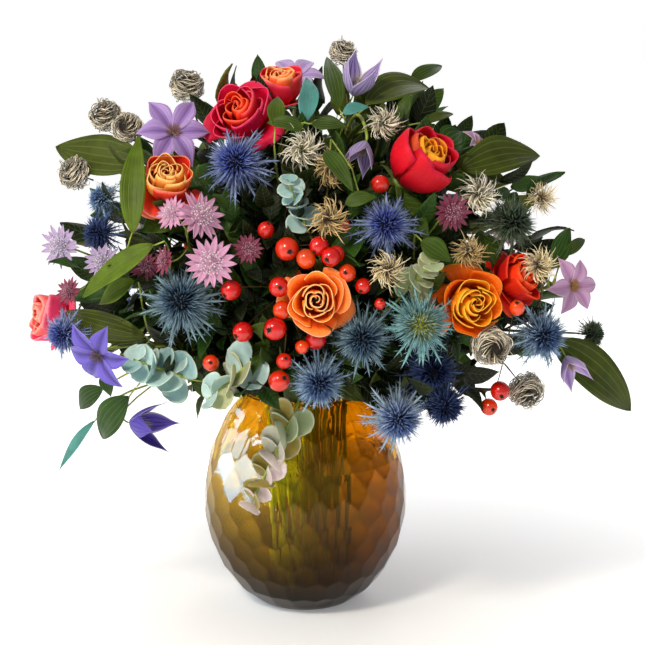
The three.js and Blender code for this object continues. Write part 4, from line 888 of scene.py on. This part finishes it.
def clematis_bell(radius, palette, seed):
    """Four tepals that close into a bell with its mouth along +Z."""
    rng = np.random.default_rng(seed)
    shape = Shape()
    t, s = sheet(16, 21)
    half = 52 * DEG * (1 - smooth(0.25, 1, t) ** 1.15)
    for k in range(4):
        angle = (k * 90 + rng.normal(0, 3)) * DEG
        mouth = 0.58 + rng.uniform(-0.05, 0.08) - 0.14 * (palette == "striped")
        line = through([(0.07, -0.06), (0.4, 0.4), (mouth, 1.04)], t)
        r = line[..., 0] * radius + 0.8 * (k % 2) + 0.05 * radius * smooth(0.8, 1, t)
        grid = polar(r, angle + s * half, line[..., 1] * radius)
        tepal(shape, grid[:, ::-1], palette, k + seed, s, t)
    receptacle = [[0, -3], [1.7, -2.2], [2.3, -1], [1.4, 0.6], [0, 1]]
    clematis_heart(shape, rng, palette, receptacle, 0.22 * radius, 0.62 * radius, 36)
    return shape

# ---- leaves --------------------------------------------------------------------------------------

# A leaf's face and its back.
GREENS = palettes({
    "o": "3a440c 5c6428",
    "m": "32460e 526428",
    "b": "4a5e0e 6c7c34",
    "d": "22400e 3c5824",
    "t": "4a8884 84b4a8",
    # k is near black: painted shade for the leaves and stems deep inside the bouquet.
    "k": "121a08 1e2a10",
})


def leaf_place(numbers, back=False):
    across, up, lift, tip_across, tip_up, tip_lift, width, roll = numbers
    base = on_dome(across, up, lift, back)
    tip = on_dome(tip_across, tip_up, tip_lift, back)
    face = turned(unit((base + tip) / 2 - HEART), unit(tip - base), roll * DEG)
    return base, tip, face, width


def shown_leaf(leaf, back):
    """The leaf a little fuller, and turned a little more to the side that it is seen from."""
    base, tip, face, width = leaf
    return base, tip, unit(face + vec(0, 0.8 if back else -0.8, 0.2)), width * 1.15


def leaf_frame(base, tip, face):
    """A leaf's way along, its length, the way it faces and the way across it."""
    way = tip - base
    length = np.linalg.norm(way)
    along = way / length
    out = unit(face - along * (face @ along))
    return along, length, out, np.cross(along, out)


def add_leaf(shape, base, tip, face, width, green, look, rng, rows=15, columns=9, teeth=0, arch=0.1):
    along, length, out, across = leaf_frame(base, tip, face)
    t, s = sheet(rows, columns)
    half = np.maximum(np.sin(np.pi * t ** 0.75) ** 0.85, 0.1 * (1 - t)) * width / 2
    if teeth:
        half = half * (1 + 0.07 * ((t * teeth) % 1) * smooth(0.1, 0.3, t))
    bend = rng.uniform(-0.05, 0.05) * length * np.sin(np.pi * t)
    lift = 4 * t * (1 - t) * arch * length + 0.2 * np.abs(s) ** 1.4 * half
    ripple = np.sin(t * rng.uniform(6, 9) + 2.2 * s + rng.uniform(0, 6))
    lift = lift + 0.045 * width * ripple * np.abs(s) ** 1.5
    lift = lift + rng.uniform(-0.06, 0.1) * length * t ** 3
    place = (t * length)[..., None] * along + (s * half + bend)[..., None] * across + lift[..., None] * out
    front, back = GREENS[green]
    lit = rng.uniform(0.8, 1.2)
    edge = 1 + 0.25 * smooth(0.75, 1, np.abs(s))[..., None]
    blade(shape, base + place, 0.45, front * lit * edge, back * lit, look, rng.uniform(0, 9))


# Each leaf takes the colour of its sprig's tone or the one after it. The drooping sprig fades towards its
# tip, and a few of its leaves are bronzed.
WAX = [rgb(code) for code in ("8ab4b4", "a8c8c4", "b4b888", "a8b888", "b4d4b0")]
DROOPING_TONE = 3
FADED, BRONZED = rgb("e6d2d2"), rgb("94822c")
WAX_RIM = rgb("dce4c4")


def add_round_leaf(shape, root, end, face, width, tint, rng):
    """A waxy leaf that is nearly a disc, a little cupped, with a paler rim."""
    along, length, out, across = leaf_frame(root, end, face)
    t, s = sheet(12, 11)
    half = np.sin(np.pi * np.clip(t, 0.004, 1) ** 0.86) ** 0.55 * width / 2
    lift = 0.14 * width * (np.abs(s) ** 2 * np.sin(np.pi * t)) - 0.05 * length * np.sin(np.pi * t)
    lift = lift + 0.02 * width * np.sin(3 * s + rng.uniform(0, 6)) * t
    place = (t * length)[..., None] * along + (s * half)[..., None] * across + lift[..., None] * out
    edge = smooth(0.7, 1, np.maximum(np.abs(s), np.abs(2 * t - 1)))[..., None]
    lit = tint * rng.uniform(0.8, 1.12)
    front = mix(lit, lit * 0.6 + WAX_RIM * 0.4, edge)
    blade(shape, root + place, 0.7, front, lit * 0.85, "wax_leaf", rng.uniform(0, 9))


# ---- stems: the frame's own, rounded, without the points of its heads and leaves ------------------

# Along the frame's plain leaves: the share of the length, and the share of the width there.
LEAF_STATIONS = [(0, 0.12), (0.22, 0.82), (0.5, 1), (0.78, 0.6)]
ROUND_STATIONS = [(0.06, 0.4), (0.38, 1), (0.78, 0.84)]
LEAF_ARCH, ROUND_ARCH = 0.1, -0.05
LEAF_THICK, ROUND_THICK = 1.2, 1.4


def ring_points(base, tip, face, width, stations, arch, thick):
    """Where the frame's plain leaf has its points."""
    along, length, out, across = leaf_frame(base, tip, face)
    found = [tip]
    for t, share in stations:
        half = share * width / 2
        rib = base + along * length * t + out * 4 * t * (1 - t) * arch * length
        found += [rib + across * half + out * 0.2 * half, rib - across * half + out * 0.2 * half,
                  rib + out * thick / 2, rib - out * thick / 2]
    return np.array(found)


def leaf_points(leaves):
    return [ring_points(*leaf, LEAF_STATIONS, LEAF_ARCH, LEAF_THICK) for leaf in leaves]


def leaf_ends(leaves):
    """Where the leaves leave their stalks, and which way the stalks go on."""
    return [(base, unit(base - tip)) for base, tip, _, _ in leaves]


def ball_points(count, *core):
    return cap(count, math.pi) * vec(*core)


def star_points(count, inner, outer):
    """Two rings of points, each (radius, rise), the outer one between the inner one's."""
    turn = 2 * np.pi * np.arange(count) / count
    return np.concatenate([polar(inner[0], turn, inner[1]), polar(outer[0], turn + np.pi / count, outer[1])])


def frame_head(kind, radius):
    """Where the frame's plain flower head has its points, along +Z."""
    r = radius
    if kind == "thistle":
        return ball_points(18 if r > 20 else 12, 0.4 * r, 0.4 * r, 0.46 * r)
    if kind == "seedhead":
        return ball_points(12, 0.44 * r, 0.44 * r, 0.44 * r)
    if kind == "hips":
        return ball_points(14 if r > 8 else 10, r, r, 1.1 * r)
    if kind == "calyx":
        return np.concatenate([star_points(5, (0.24 * r, -0.03 * r), (0.64 * r, -0.28 * r)), [[0, 0, 0]]])
    rim = star_points(9, (0.6 * r, 0), (r, 0.18 * r))
    tuft = star_points(9, (0.3 * r, 0.16 * r), (0.42 * r, 0.5 * r))
    return np.concatenate([rim, tuft, [[0, 0, 0.3 * r]]])


WELD = 2e-5  # metres
SAME_PLACE = 0.2  # how near a point of the frame's is to where it is expected
SWELL = 0.35  # what rounding takes off a stem, given back


def rounded_stem(node, lost):
    """The points and quads of a node's stem, without the points that are near one of lost."""
    work = bmesh.new()
    work.from_mesh(frame["nodes"][node].data)
    bmesh.ops.remove_doubles(work, verts=work.verts, dist=WELD)
    points = np.array([v.co for v in work.verts]) / MM
    gone = np.zeros(len(points), bool)
    for place in lost:
        gone |= ((points - place) ** 2).sum(1) < SAME_PLACE ** 2
    for v in work.verts:
        if not gone[v.index] and all(gone[e.other_vert(v).index] for e in v.link_edges):
            gone[v.index] = True
    doomed = [v for v, hit in zip(work.verts, gone) if hit]
    bmesh.ops.delete(work, geom=doomed, context="VERTS")
    bmesh.ops.join_triangles(
        work, faces=work.faces, angle_face_threshold=0.6, angle_shape_threshold=2.5, cmp_seam=False,
        cmp_sharp=False, cmp_uvs=False, cmp_vcols=False, cmp_materials=False)
    bmesh.ops.holes_fill(work, edges=[e for e in work.edges if e.is_boundary], sides=0)
    work.normal_update()
    for v in work.verts:
        v.co += v.normal * SWELL * MM
    mesh = bpy.data.meshes.new("work")
    work.to_mesh(mesh)
    work.free()
    rough = bpy.data.objects.new("work", mesh)
    bpy.context.scene.collection.objects.link(rough)
    rough.modifiers.new("round", "SUBSURF").render_levels = 1
    round_mesh = rough.evaluated_get(bpy.context.evaluated_depsgraph_get()).to_mesh()
    found = np.array([v.co for v in round_mesh.vertices]) / MM
    quads = np.array([p.vertices for p in round_mesh.polygons])
    bpy.data.objects.remove(rough)
    bpy.data.meshes.remove(mesh)
    return found, quads


STEM_PAINTED_LIT, STEM_PAINTED_SHADE = rgb("b4ff58"), rgb("241a0a")  # in the vase: painted light to the left, painted shade to the right
STEM_GREENS = {"green": rgb("66782c"), "pale": rgb("93a340"), "dark": rgb("465020"), "brown": rgb("54421e")}


def add_stem(shape, node, lost, ends, colour, thin):
    """Adds a node's stem, and a short stalk from each end to where the stem comes nearest."""
    points, quads = rounded_stem(node, np.concatenate(lost))
    green = STEM_GREENS[colour]
    near_axis = np.hypot(points[:, :1], points[:, 1:2]) < VASE["radius"] - 6
    in_vase = (1 - smooth(150, NECK, points[:, 2:])) * near_axis
    # Stems in the vase: painted light, bright yellow-green, on the left, and painted shade, near-black brown,
    # on the right.
    painted_light_and_shade = mix(STEM_PAINTED_LIT, STEM_PAINTED_SHADE, smooth(-12, 8, points[:, :1]))
    shape.add(points, [quads], mix(green, painted_light_and_shade, in_vase), "stem")
    tree = BVHTree.FromPolygons([Vector(p) for p in points], [tuple(q) for q in quads])
    t = np.array([0, 0.02, 0.35, 0.7, 0.98, 1])
    widths = np.array([thin, thin, thin * 0.9, thin * 0.9, thin * 1.1, thin * 1.1])[None]
    for end, way in ends:
        near, normal, _, gap = tree.find_nearest(Vector(end))
        if near is None or gap < 0.3:
            continue
        goal = vec(*near) - vec(*normal) * thin * 0.6
        control = end - way * gap * 0.4
        line = through([end, (end + 2 * control + goal) / 4, goal], t)
        strands(shape, line[None], widths, green, "stem", 7)


def piece(shape, name, slot, *nodes):
    made = shape.made(name)
    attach(made, "root")
    if nodes:
        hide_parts(*nodes)
    return made


# ---- plants --------------------------------------------------------------------------------------

head_places = []  # where each head is, the way it faces and its radius


def is_behind(numbers):
    turn = numbers[3]
    return math.cos(turn * DEG) < 0


def head_place(numbers, behind):
    """A head's place, way and radius, and the place on its stalk this far behind it."""
    across, up, lift, turn, tilt, radius = numbers
    at = on_dome(across, up, lift, is_behind(numbers))
    way = facing(turn, tilt)
    head_places.append((at, way, radius))
    return at, way, radius, at - way * behind(radius)


def world(points, at, way):
    return points @ basis(way) + at


ROSE_SLOTS = {"ruby": "red_petal", "scarlet": "red_petal", "crimson": "pink_petal", "pink": "pink_petal"}


def add_calyx(shape, radius, foot, way):
    """Five sepals over the swelling under a rose."""
    calyx = Shape()
    t, s = sheet(9, 5)
    half = 0.15 * radius * (1 - t) ** 0.8
    reach = radius * (0.08 + 0.72 * np.sin(1.5 * t))
    rise = radius * (-0.16 + 0.1 * t - 0.36 * t ** 2)
    for k in range(5):
        blade(calyx, spoke((72 * k + 20) * DEG, reach, s * half, rise), 0.5, *GREENS["m"], "toothed_leaf", k)
    swelling = np.array([[0, -0.34], [0.1, -0.3], [0.2, -0.16], [0.22, -0.06], [0, 0.04]])
    spin(calyx, swelling * radius, 10, STEM_GREENS["green"], "stem")
    shape.take(calyx, foot, way)


def build_rose(seed, name, palette, openness, skirt, head, leaves):
    at, way, radius, foot = head_place(head, lambda r: 0.8 * r + 0.3)
    bloom = Shape()
    full = radius * mix(1.22, 1, openness)  # a closed one is drawn fuller
    bloom.take(rose(full, openness, palette, seed, skirt), at, way)
    piece(bloom, name + "_petals", ROSE_SLOTS.get(palette, "orange_petal"), name + "_bloom")
    rng = np.random.default_rng(seed + 500)
    greenery = Shape()
    back = is_behind(head)
    leaves = [leaf_place(leaf, back) for leaf in leaves]
    lost = [world(frame_head("calyx", radius), foot, way)] + leaf_points(leaves)
    ends = [(foot - way * 0.12 * radius, way)] + leaf_ends(leaves)
    add_stem(greenery, name + "_stem", lost, ends, "green", 1.2)
    add_calyx(greenery, radius, foot, way)
    for leaf in leaves:
        add_leaf(greenery, *shown_leaf(leaf, back), "m", "toothed_leaf", rng, rows=31, teeth=14)
    piece(greenery, name + "_greenery", "green_leaf", name + "_stem")


def build_heads(seed, kind, make, fuller, behind, slot, colour, thin, name, looks, heads):
    """A plant whose stems all end in heads of one kind, made fuller than the frame's plain ones."""
    shape = Shape()
    lost, ends = [], []
    for i, (palette, numbers) in enumerate(zip(looks.split(), heads, strict=True)):
        at, way, radius, foot = head_place(numbers, behind)
        lost.append(world(frame_head(kind, radius), at, way))
        ends.append((foot + way * 0.2 * radius, way))
        shape.take(make(radius * fuller, palette, seed + i), at, way)
    add_stem(shape, name, lost, ends, colour, thin)
    piece(shape, name + "_heads", slot, name)


def build_hips(seed, name, fruits):
    """Hips hang every way, so each has its own small turn off the frame's."""
    rng = np.random.default_rng(seed)
    shape = Shape()
    lost, ends = [], []
    for i, numbers in enumerate(fruits):
        at, way, radius, foot = head_place(numbers, lambda r: r + 3)
        lost.append(world(frame_head("hips", radius), at, way))
        ends.append((foot + way * 3.6, way))
        shape.take(hip(radius, seed + i), at, unit(way + rng.normal(0, 0.5, 3)))
    add_stem(shape, name, lost, ends, "brown", 0.6)
    piece(shape, name + "_fruit", "red_hip", name)


def build_vine(seed, name, greens, blooms, leaves):
    rng = np.random.default_rng(seed)
    ends = []
    for i, (bloom, palette, form, head) in enumerate(blooms):
        at, way, radius, foot = head_place(head, lambda r: 3.3)
        make = clematis_open if form == "disc" else clematis_bell
        flower = Shape()
        flower.take(make(radius, palette, seed + 20 * i), at, way)
        piece(flower, bloom + "_tepals", "violet_petal", bloom)
        ends.append((foot + way * 0.8, way))
    back = is_behind(blooms[0][-1])
    leaves = [leaf_place(leaf, back) for leaf in leaves]
    shape = Shape()
    add_stem(shape, name, leaf_points(leaves), ends + leaf_ends(leaves), "pale", 0.8)
    for green, leaf in zip(greens, leaves, strict=True):
        add_leaf(shape, *shown_leaf(leaf, back), green, "broad_leaf", rng, rows=21, columns=11)
    piece(shape, name + "_greenery", "green_leaf", name)


def build_eucalyptus(seed, name, tone, pairs, between, length, width, turn_by, foot, tip):
    """Pairs of round leaves up a sprig, with between of them for each pair in the frame."""
    rng = np.random.default_rng(seed)
    foot, tip = on_dome(*foot), on_dome(*tip)
    along = tip - foot
    way = unit(along)
    side = unit(np.cross(way, (foot + tip) / 2 - HEART))
    shape = Shape()
    lost = []
    for step in range(pairs * between):
        pair = step / between
        t = (pair + 0.3) / pairs
        size = length * mix(1, 0.62, min(t, 1))
        root = foot + along * t
        turn = (turn_by if math.floor(pair) % 2 else 0) * DEG + 0.2
        turn += 0.75 * (step % between)
        across = turned(side, way, turn)
        for hand in (1, -1):
            end = root + across * hand * size + way * size * 0.35
            base = root + (end - root) * 0.12
            if step % between == 0:
                lost.append(ring_points(base, end, way, size * 0.95, ROUND_STATIONS, ROUND_ARCH, ROUND_THICK))
            else:
                end = root + (end - root) * 0.85
            tint = WAX[rng.integers(0, 2) + tone]
            if tone == DROOPING_TONE:
                tint = mix(tint, FADED, smooth(0.1, 0.6, t)) if rng.uniform() < 0.74 else BRONZED
            face = unit(0.2 * way + unit(root - HEART) + vec(0, -0.8, 0.1) + rng.normal(0, 0.2, 3))
            add_round_leaf(shape, root, end, face, size * width, tint, rng)
    add_stem(shape, name, lost, [(tip, way)], "pale", 0.9)
    piece(shape, name + "_leaves", "grey_leaf", name)


def build_all(rows, build, seed, step, *settings):
    """Builds each row of a table, with seeds that go up from row to row."""
    for number, row in enumerate(rows):
        build(seed + step * number, *settings, *row)


build_all(ROSES, build_rose, 100, 10)
# After the seeds: the kind, how it is made and how much fuller, how far behind it its stalk ends, its
# slot, and its stem's colour and thickness.
build_all(THISTLES, build_heads, 200, 10,
          "thistle", thistle, 1.1, lambda r: 0.62 * r, "thistle_bract", "dark", 1.2)
build_all(SEEDHEADS, build_heads, 300, 10,
          "seedhead", seedhead, 1.0, lambda r: 0.62 * r, "silky_seed", "brown", 0.8)
build_all(ASTRANTIAS, build_heads, 400, 10,
          "astrantia", astrantia, 1.2, lambda r: 0.3 * r + 4, "papery_bract", "pale", 0.8)
build_all(HIPS, build_hips, 500, 20)
build_all(VINES, build_vine, 600, 100)
build_all(EUCALYPTUS, build_eucalyptus, 1300, 10)

# ---- foliage that fills the bouquet behind its flowers --------------------------------------------

# The dense part of the bouquet in the front view, as (across, up).
DENSE = [(-225, 425), (-170, 462), (-115, 490), (-70, 528), (0, 545), (95, 522), (145, 500), (205, 455),
         (250, 410), (266, 350), (268, 300), (248, 262), (212, 228), (140, 210), (0, 205), (-110, 205),
         (-190, 222), (-236, 270), (-248, 330), (-240, 385)]
DENSE_ACROSS, DENSE_UP = 20, 345  # its middle
# Sprays low over the neck, as (across, up, lift).
LOW_RIGHT = [(80, 214, -40), (98, 212, -30), (116, 210, -40), (134, 216, -30), (150, 226, -40)]
# Layers of sprays: their number, whether behind, lift, and the share of the dense part that they fill.
LAYERS = [(105, False, -20, 0.93), (75, False, -60, 0.85), (75, True, -12, 0.88), (40, True, -55, 0.8)]
TOP_SPRAYS, GIRTH_SPRAYS = 64, 26
FILLING_PIECES = 8


def inside(outline, across, up):
    """Whether a place is inside a closed line."""
    turns = 0
    for (x1, y1), (x2, y2) in zip(outline, outline[1:] + outline[:1]):
        if (y1 > up) != (y2 > up) and across < x1 + (up - y1) * (x2 - x1) / (y2 - y1):
            turns += 1
    return turns % 2 == 1


def in_dense(across, up, share):
    """Whether a place is in the dense part shrunk to a share of its size."""
    return inside(DENSE, DENSE_ACROSS + (across - DENSE_ACROSS) / share, DENSE_UP + (up - DENSE_UP) / share)


def spray_ends(rng):
    """Where the filling sprays end: under the flowers of the front and of the back, and in between."""
    ends = []
    for count, back, lift, share in LAYERS:
        for i in range(count):
            out = 270 * math.sqrt((i + 0.5) / count)
            angle = GOLDEN_ANGLE * i + rng.normal(0, 0.15)
            across, up = DENSE_ACROSS + out * math.cos(angle), DENSE_UP + 0.72 * out * math.sin(angle)
            if in_dense(across, up, share):
                ends.append(on_dome(across, max(up, 218), lift + rng.uniform(-12, 8), back))
    for i in range(TOP_SPRAYS):
        out, angle = 0.86 * math.sqrt((i + 0.5) / TOP_SPRAYS), GOLDEN_ANGLE * i
        across = 15 + 262 * out * math.cos(angle)
        up = 326 + 200 * math.sqrt(1 - out ** 2) + rng.uniform(-22, 4)
        if in_dense(across, up, 0.94):
            ends.append(seen(across, up, 175 * out * math.sin(angle)))
    for i in range(GIRTH_SPRAYS):
        angle = (i + 0.5) / GIRTH_SPRAYS * 2 * math.pi
        across, up = 12 + 215 * math.cos(angle), 352 + 148 * math.sin(angle)
        ends.append(seen(across, max(up, 226), rng.uniform(-90, 90)))
    return ends + [on_dome(*end) for end in LOW_RIGHT]


def crosses_head(points):
    """Whether one of some places lies in a flower's open side, or close in front of it."""
    at, way, radius = (np.array(each) for each in zip(*head_places))
    off = points[:, None] - at
    above = (off * way).sum(-1)
    aside = np.linalg.norm(off - above[..., None] * way, axis=-1)
    return ((above > -0.3 * radius) & (above < 1.2 * radius) & (aside < 0.85 * radius)).any()


def add_spray(shape, end, rng):
    """A stem from the neck to an end, with leaves down both sides of its outer part. A leaf that would
    cross a flower is left out."""
    turn = math.atan2(end[1], end[0]) + rng.normal(0, 0.3)
    start = polar(NECK_RADIUS * rng.uniform(0.3, 0.95), turn, NECK - 10)
    rise = start + vec(0, 0, 0.45 * np.linalg.norm(end - start))
    line = through([start, 0.5 * (start + end) * 0.6 + 0.4 * rise, end], np.linspace(0, 1, 9))
    widths = np.array([1.1, 1.1, 1.1, 1, 0.9, 0.8, 0.7, 0.6, 0])[None]
    # The stem and most leaves take the near-black green k, painted shade deep in the bouquet.
    strands(shape, line[None], widths, GREENS["k"][1], "stem", 5)
    green = rng.choice(list("kkkkddmo"))
    count = rng.integers(9, 13)
    for i in range(count):
        share = mix(0.42, 1, i / (count - 1)) * 8
        k = min(int(share), 7)
        root = mix(line[k], line[k + 1], share - k)
        along = unit(line[k + 1] - line[k])
        out = unit(root - HEART)
        side = unit(np.cross(along, out)) * (1 if i % 2 else -1)
        way = side * (0.2 if i == count - 1 else 1) + along * rng.uniform(0.5, 1.1) + rng.normal(0, 0.15, 3)
        length = rng.uniform(28, 46)
        tip = root + unit(way) * length
        face = unit(out + rng.normal(0, 0.25, 3))
        kept = Shape() if crosses_head(root + np.outer(np.linspace(0.2, 1, 5), tip - root)) else shape
        width = length * rng.uniform(0.42, 0.58)
        add_leaf(kept, root, tip, face, width, green, "toothed_leaf", rng, rows=8, columns=5)


filling_random = np.random.default_rng(77)
filling = [Shape() for _ in range(FILLING_PIECES)]
for number, end in enumerate(spray_ends(filling_random)):
    add_spray(filling[number % FILLING_PIECES], end, filling_random)
for number, shape in enumerate(filling):
    piece(shape, f"foliage_{number}", "green_leaf")

# ---- vase and water ------------------------------------------------------------------------------

FACET_HEIGHTS = np.arange(10, 208, 20.5)  # of the middles of each row of facets
# The glass's tint: near black at the foot as painted shade, and bright gold high up as painted light.
AMBER_SHADED_FOOT, AMBER_LOW, AMBER_LIT_TOP = rgb("201402"), rgb("7c5208"), rgb("dca624")
WATER_TINT = (0.97, 0.93, 0.82)
SIDES, CUT_ROWS = 312, 156  # points round the vase, and rings of them up its cut outside


def egg_radius(z):
    """The radius of the plain egg at a height."""
    z = np.asarray(z, float)
    half = np.where(z > VASE["widest_at"], VASE["rise"], VASE["drop"])
    return VASE["radius"] * np.sqrt(1 - ((z - VASE["widest_at"]) / half) ** 2)


def inner_radius(z):
    return egg_radius(z) - VASE["wall"]


def cut_facets(angles, heights):
    """The radius of the vase's outside, and the painted light and shade of its glass: flat facets in a
    honeycomb, each square to the egg at its own middle, each of a random tint, painted lighter towards
    its top and one side and painted darker along its edges."""
    rng = np.random.default_rng(5)
    radius = np.full((len(heights), len(angles)), 1e3)
    next_radius, light = radius.copy(), radius.copy()
    flat = polar(1, angles, 0)
    for row, z in enumerate(FACET_HEIGHTS):
        columns = VASE["columns"] if 30 < z < 180 else VASE["columns"] - 4
        for i in range(columns):
            turn = (i + row % 2 / 2) * 2 * np.pi / columns + rng.normal(0, 0.022)
            height = z + rng.normal(0, 2.0)
            r, above = egg_radius(height), egg_radius(height + 0.5)
            normal = unit(vec(math.cos(turn), math.sin(turn), (r - above) / 0.5))
            middle = polar(r - 0.45, turn, height)
            toward = flat @ normal
            reach = (normal @ middle - normal[2] * heights[:, None]) / np.maximum(toward, 0.05)[None]
            reach = np.where(toward[None] > 0.3, reach, 1e3)
            own = reach < radius
            # Painted light and shade: each facet lighter towards its top and to one side.
            painted_slope = (heights[:, None] - height) * 0.022 + np.sin(angles[None] - turn) * 1.4
            own_painted_shading = rng.uniform(0.75, 1.25) * (1 + np.clip(painted_slope, -0.4, 0.4))
            light = np.where(own, own_painted_shading, light)
            next_radius = np.where(own, radius, np.minimum(next_radius, reach))
            radius = np.where(own, reach, radius)
    # Painted shade along the edges between facets.
    return radius, light * mix(0.7, 1, smooth(0, 0.5, next_radius - radius))


def add_vase(shape):
    """One closed skin: from under the foot up the cut outside, over the rim and down to the floor."""
    rim_height, floor_height = VASE["rim"], VASE["floor"]
    angles = np.linspace(0, 2 * np.pi, SIDES, endpoint=False)
    heights = np.linspace(2, rim_height - 3, CUT_ROWS)
    plain = egg_radius(heights)[:, None] + 0 * angles
    share = (smooth(2, 9, heights) * (1 - smooth(203, 211, heights)))[:, None]  # plain at foot and rim
    cut, light = cut_facets(angles, heights)
    outer = polar(mix(plain, np.minimum(cut, plain + 1), share), angles, heights[:, None])

    foot = egg_radius(0)
    under = [(0.5 * foot, 1.2), (foot - 8, 1.2), (foot - 6, 0), (foot - 1.5, 0)]
    middle, bead = (egg_radius(rim_height) + inner_radius(rim_height)) / 2, VASE["wall"] / 2
    round_rim = np.linspace(0.3, 2.84, 7)
    rim = [(middle + bead * math.cos(a), rim_height - 2.5 + bead * math.sin(a)) for a in round_rim]
    down = np.linspace(rim_height - 3, floor_height + 6, 40)
    corner = inner_radius(floor_height + 6)
    within = list(zip(inner_radius(down), down))
    within += [(corner - 2.5, floor_height + 2), (corner - 7, floor_height), (corner * 0.5, floor_height)]

    rings = [polar(r, angles, z)[None] for r, z in under] + [outer]
    rings += [polar(r, angles, z)[None] for r, z in rim + within]
    grid = np.concatenate(rings)
    rows = len(grid)
    count = rows * SIDES
    points = np.concatenate([grid.reshape(-1, 3), [[0, 0, 1.2], [0, 0, floor_height]]])
    # Painted shade towards the foot, painted light towards the top.
    amber = mix(AMBER_SHADED_FOOT, AMBER_LOW, smooth(-10, 70, points[:, 2:]))
    amber = mix(amber, AMBER_LIT_TOP, smooth(50, 170, points[:, 2:]))
    first = len(under) * SIDES
    # The facets' painted light and shade, and their random tints.
    amber[first:first + light.size] *= mix(1, light, share).reshape(-1, 1)
    faces = [lattice(rows, SIDES, wrap=True), fans(SIDES, count, count + 1, 0, count - SIDES)]
    shape.add(points, faces, amber, "glass")


def add_water(shape):
    """Water that fills the vase to its level, with a raised edge along the glass."""
    floor_height = VASE["floor"]
    heights = np.linspace(floor_height + 6, WATER_LEVEL, 24)
    radii = inner_radius(heights) + 0.15
    low = [(0, floor_height - 0.1), (radii[0] - 7, floor_height - 0.1), (radii[0] - 2.5, floor_height + 2)]
    top = [(radii[-1], WATER_LEVEL + 0.4), (radii[-1] - 2, WATER_LEVEL), (0, WATER_LEVEL)]
    spin(shape, low + list(zip(radii, heights)) + top, 96, WATER_TINT, "water")


vase, water = Shape(), Shape()
add_vase(vase)
add_water(water)
vase = piece(vase, "vase_clear", "amber_glass", "vase")
piece(water, "water_clear", "water", "water")

# ---- table, light and camera ----------------------------------------------------------------------

WHITE = (1.0, 1.0, 1.0)
WARM, NEAR_WHITE, SKY_BLUE = (1.0, 0.91, 0.78), (1.0, 0.98, 0.95), (0.42, 0.7, 1.0)


def area_light(name, place, aim, size, power, colour):
    light = bpy.data.lights.new(name, "AREA")
    light.shape, light.size, light.size_y = "RECTANGLE", *size
    light.energy, light.color = power, colour
    made = bpy.data.objects.new(name, light)
    made.location = place
    made.rotation_euler = (Vector(aim) - Vector(place)).to_track_quat("-Z", "Y").to_euler()
    bpy.context.scene.collection.objects.link(made)
    return made


area_light("key", (-0.9, -1.6, 1.8), (0, 0, 0.35), (0.45, 0.45), 35, WARM)
# A window to the left, in two rows of panes. Only the glass shows it.
PANE_LEFT, PANE_WIDTH = -0.95, 0.5
PANE_ROWS = [(0.22, 0.4), (0.72, 0.54)]  # how far up and how high
PANE_COLUMNS = [(-1.05, (44, 44)), (-0.5, (34, 60)), (0.05, (26, 30)), (0.6, (8, 14))]  # across, powers
glass_only = bpy.data.collections.new("glass_only")
glass_only.objects.link(vase)
for across, powers in PANE_COLUMNS:
    for (up, height), power in zip(PANE_ROWS, powers):
        place, aim = (PANE_LEFT, across, up), (0, across, up)
        pane = area_light("window", place, aim, (PANE_WIDTH, height), power, SKY_BLUE)
        pane.light_linking.receiver_collection = glass_only
area_light("side", (-1.6, -0.8, 1.0), (0, 0, 0.3), (1.0, 1.0), 9, NEAR_WHITE)
area_light("rim", (0.6, 1.7, 1.6), (0, 0, 0.35), (1.0, 0.8), 7, WHITE)

# The sky is white, and brightest behind the bouquet.
sky = bpy.data.worlds.new("sky")
sky.use_nodes = True
sky_way = node(sky.node_tree, "TexCoord", {}).outputs["Generated"]
sky_back = node(sky.node_tree, "SeparateXYZ", {0: sky_way}).outputs["Y"]
sky_strength = node(sky.node_tree, "MapRange", {0: sky_back, 1: 0.55, 2: 0.97, 3: 0.36, 4: 1.0}).outputs[0]
fill(sky.node_tree, sky.node_tree.nodes["Background"], {"Color": (*WHITE, 1.0), "Strength": sky_strength})
bpy.context.scene.world = sky
bpy.context.scene.view_settings.view_transform = "Standard"

# The floor glows a little, more so away from the vase; the dimmer glow near the vase paints a soft shadow
# round its foot.
bpy.ops.mesh.primitive_plane_add(size=80, location=(0, 0, -0.0005))
floor = bpy.context.object
floor.name = "floor"
web = Web("floor")
far = web.node("VectorMath", {0: web.place}, operation="LENGTH").outputs["Value"]
glow = {"Emission Color": (*WHITE, 1.0), "Emission Strength": web.ramp(far, 0.1, 0.5, 0.2, 0.6)}
floor.data.materials.append(web.done((0.92, 0.92, 0.92, 1.0), {"Roughness": 0.8, **glow}))

lens = bpy.data.cameras.new("camera")
lens.sensor_width = 36
lens.lens = lens.sensor_width * VIEW_DISTANCE / PICTURE
camera = bpy.data.objects.new("camera", lens)
aim = Vector((AIM_X, 0, AIM_Z)) * MM
camera.location = aim + Vector((0, -math.cos(VIEW_PITCH), math.sin(VIEW_PITCH))) * VIEW_DISTANCE * MM
camera.rotation_euler = (math.pi / 2 - VIEW_PITCH, 0, 0)
bpy.context.scene.collection.objects.link(camera)
bpy.context.scene.camera = camera
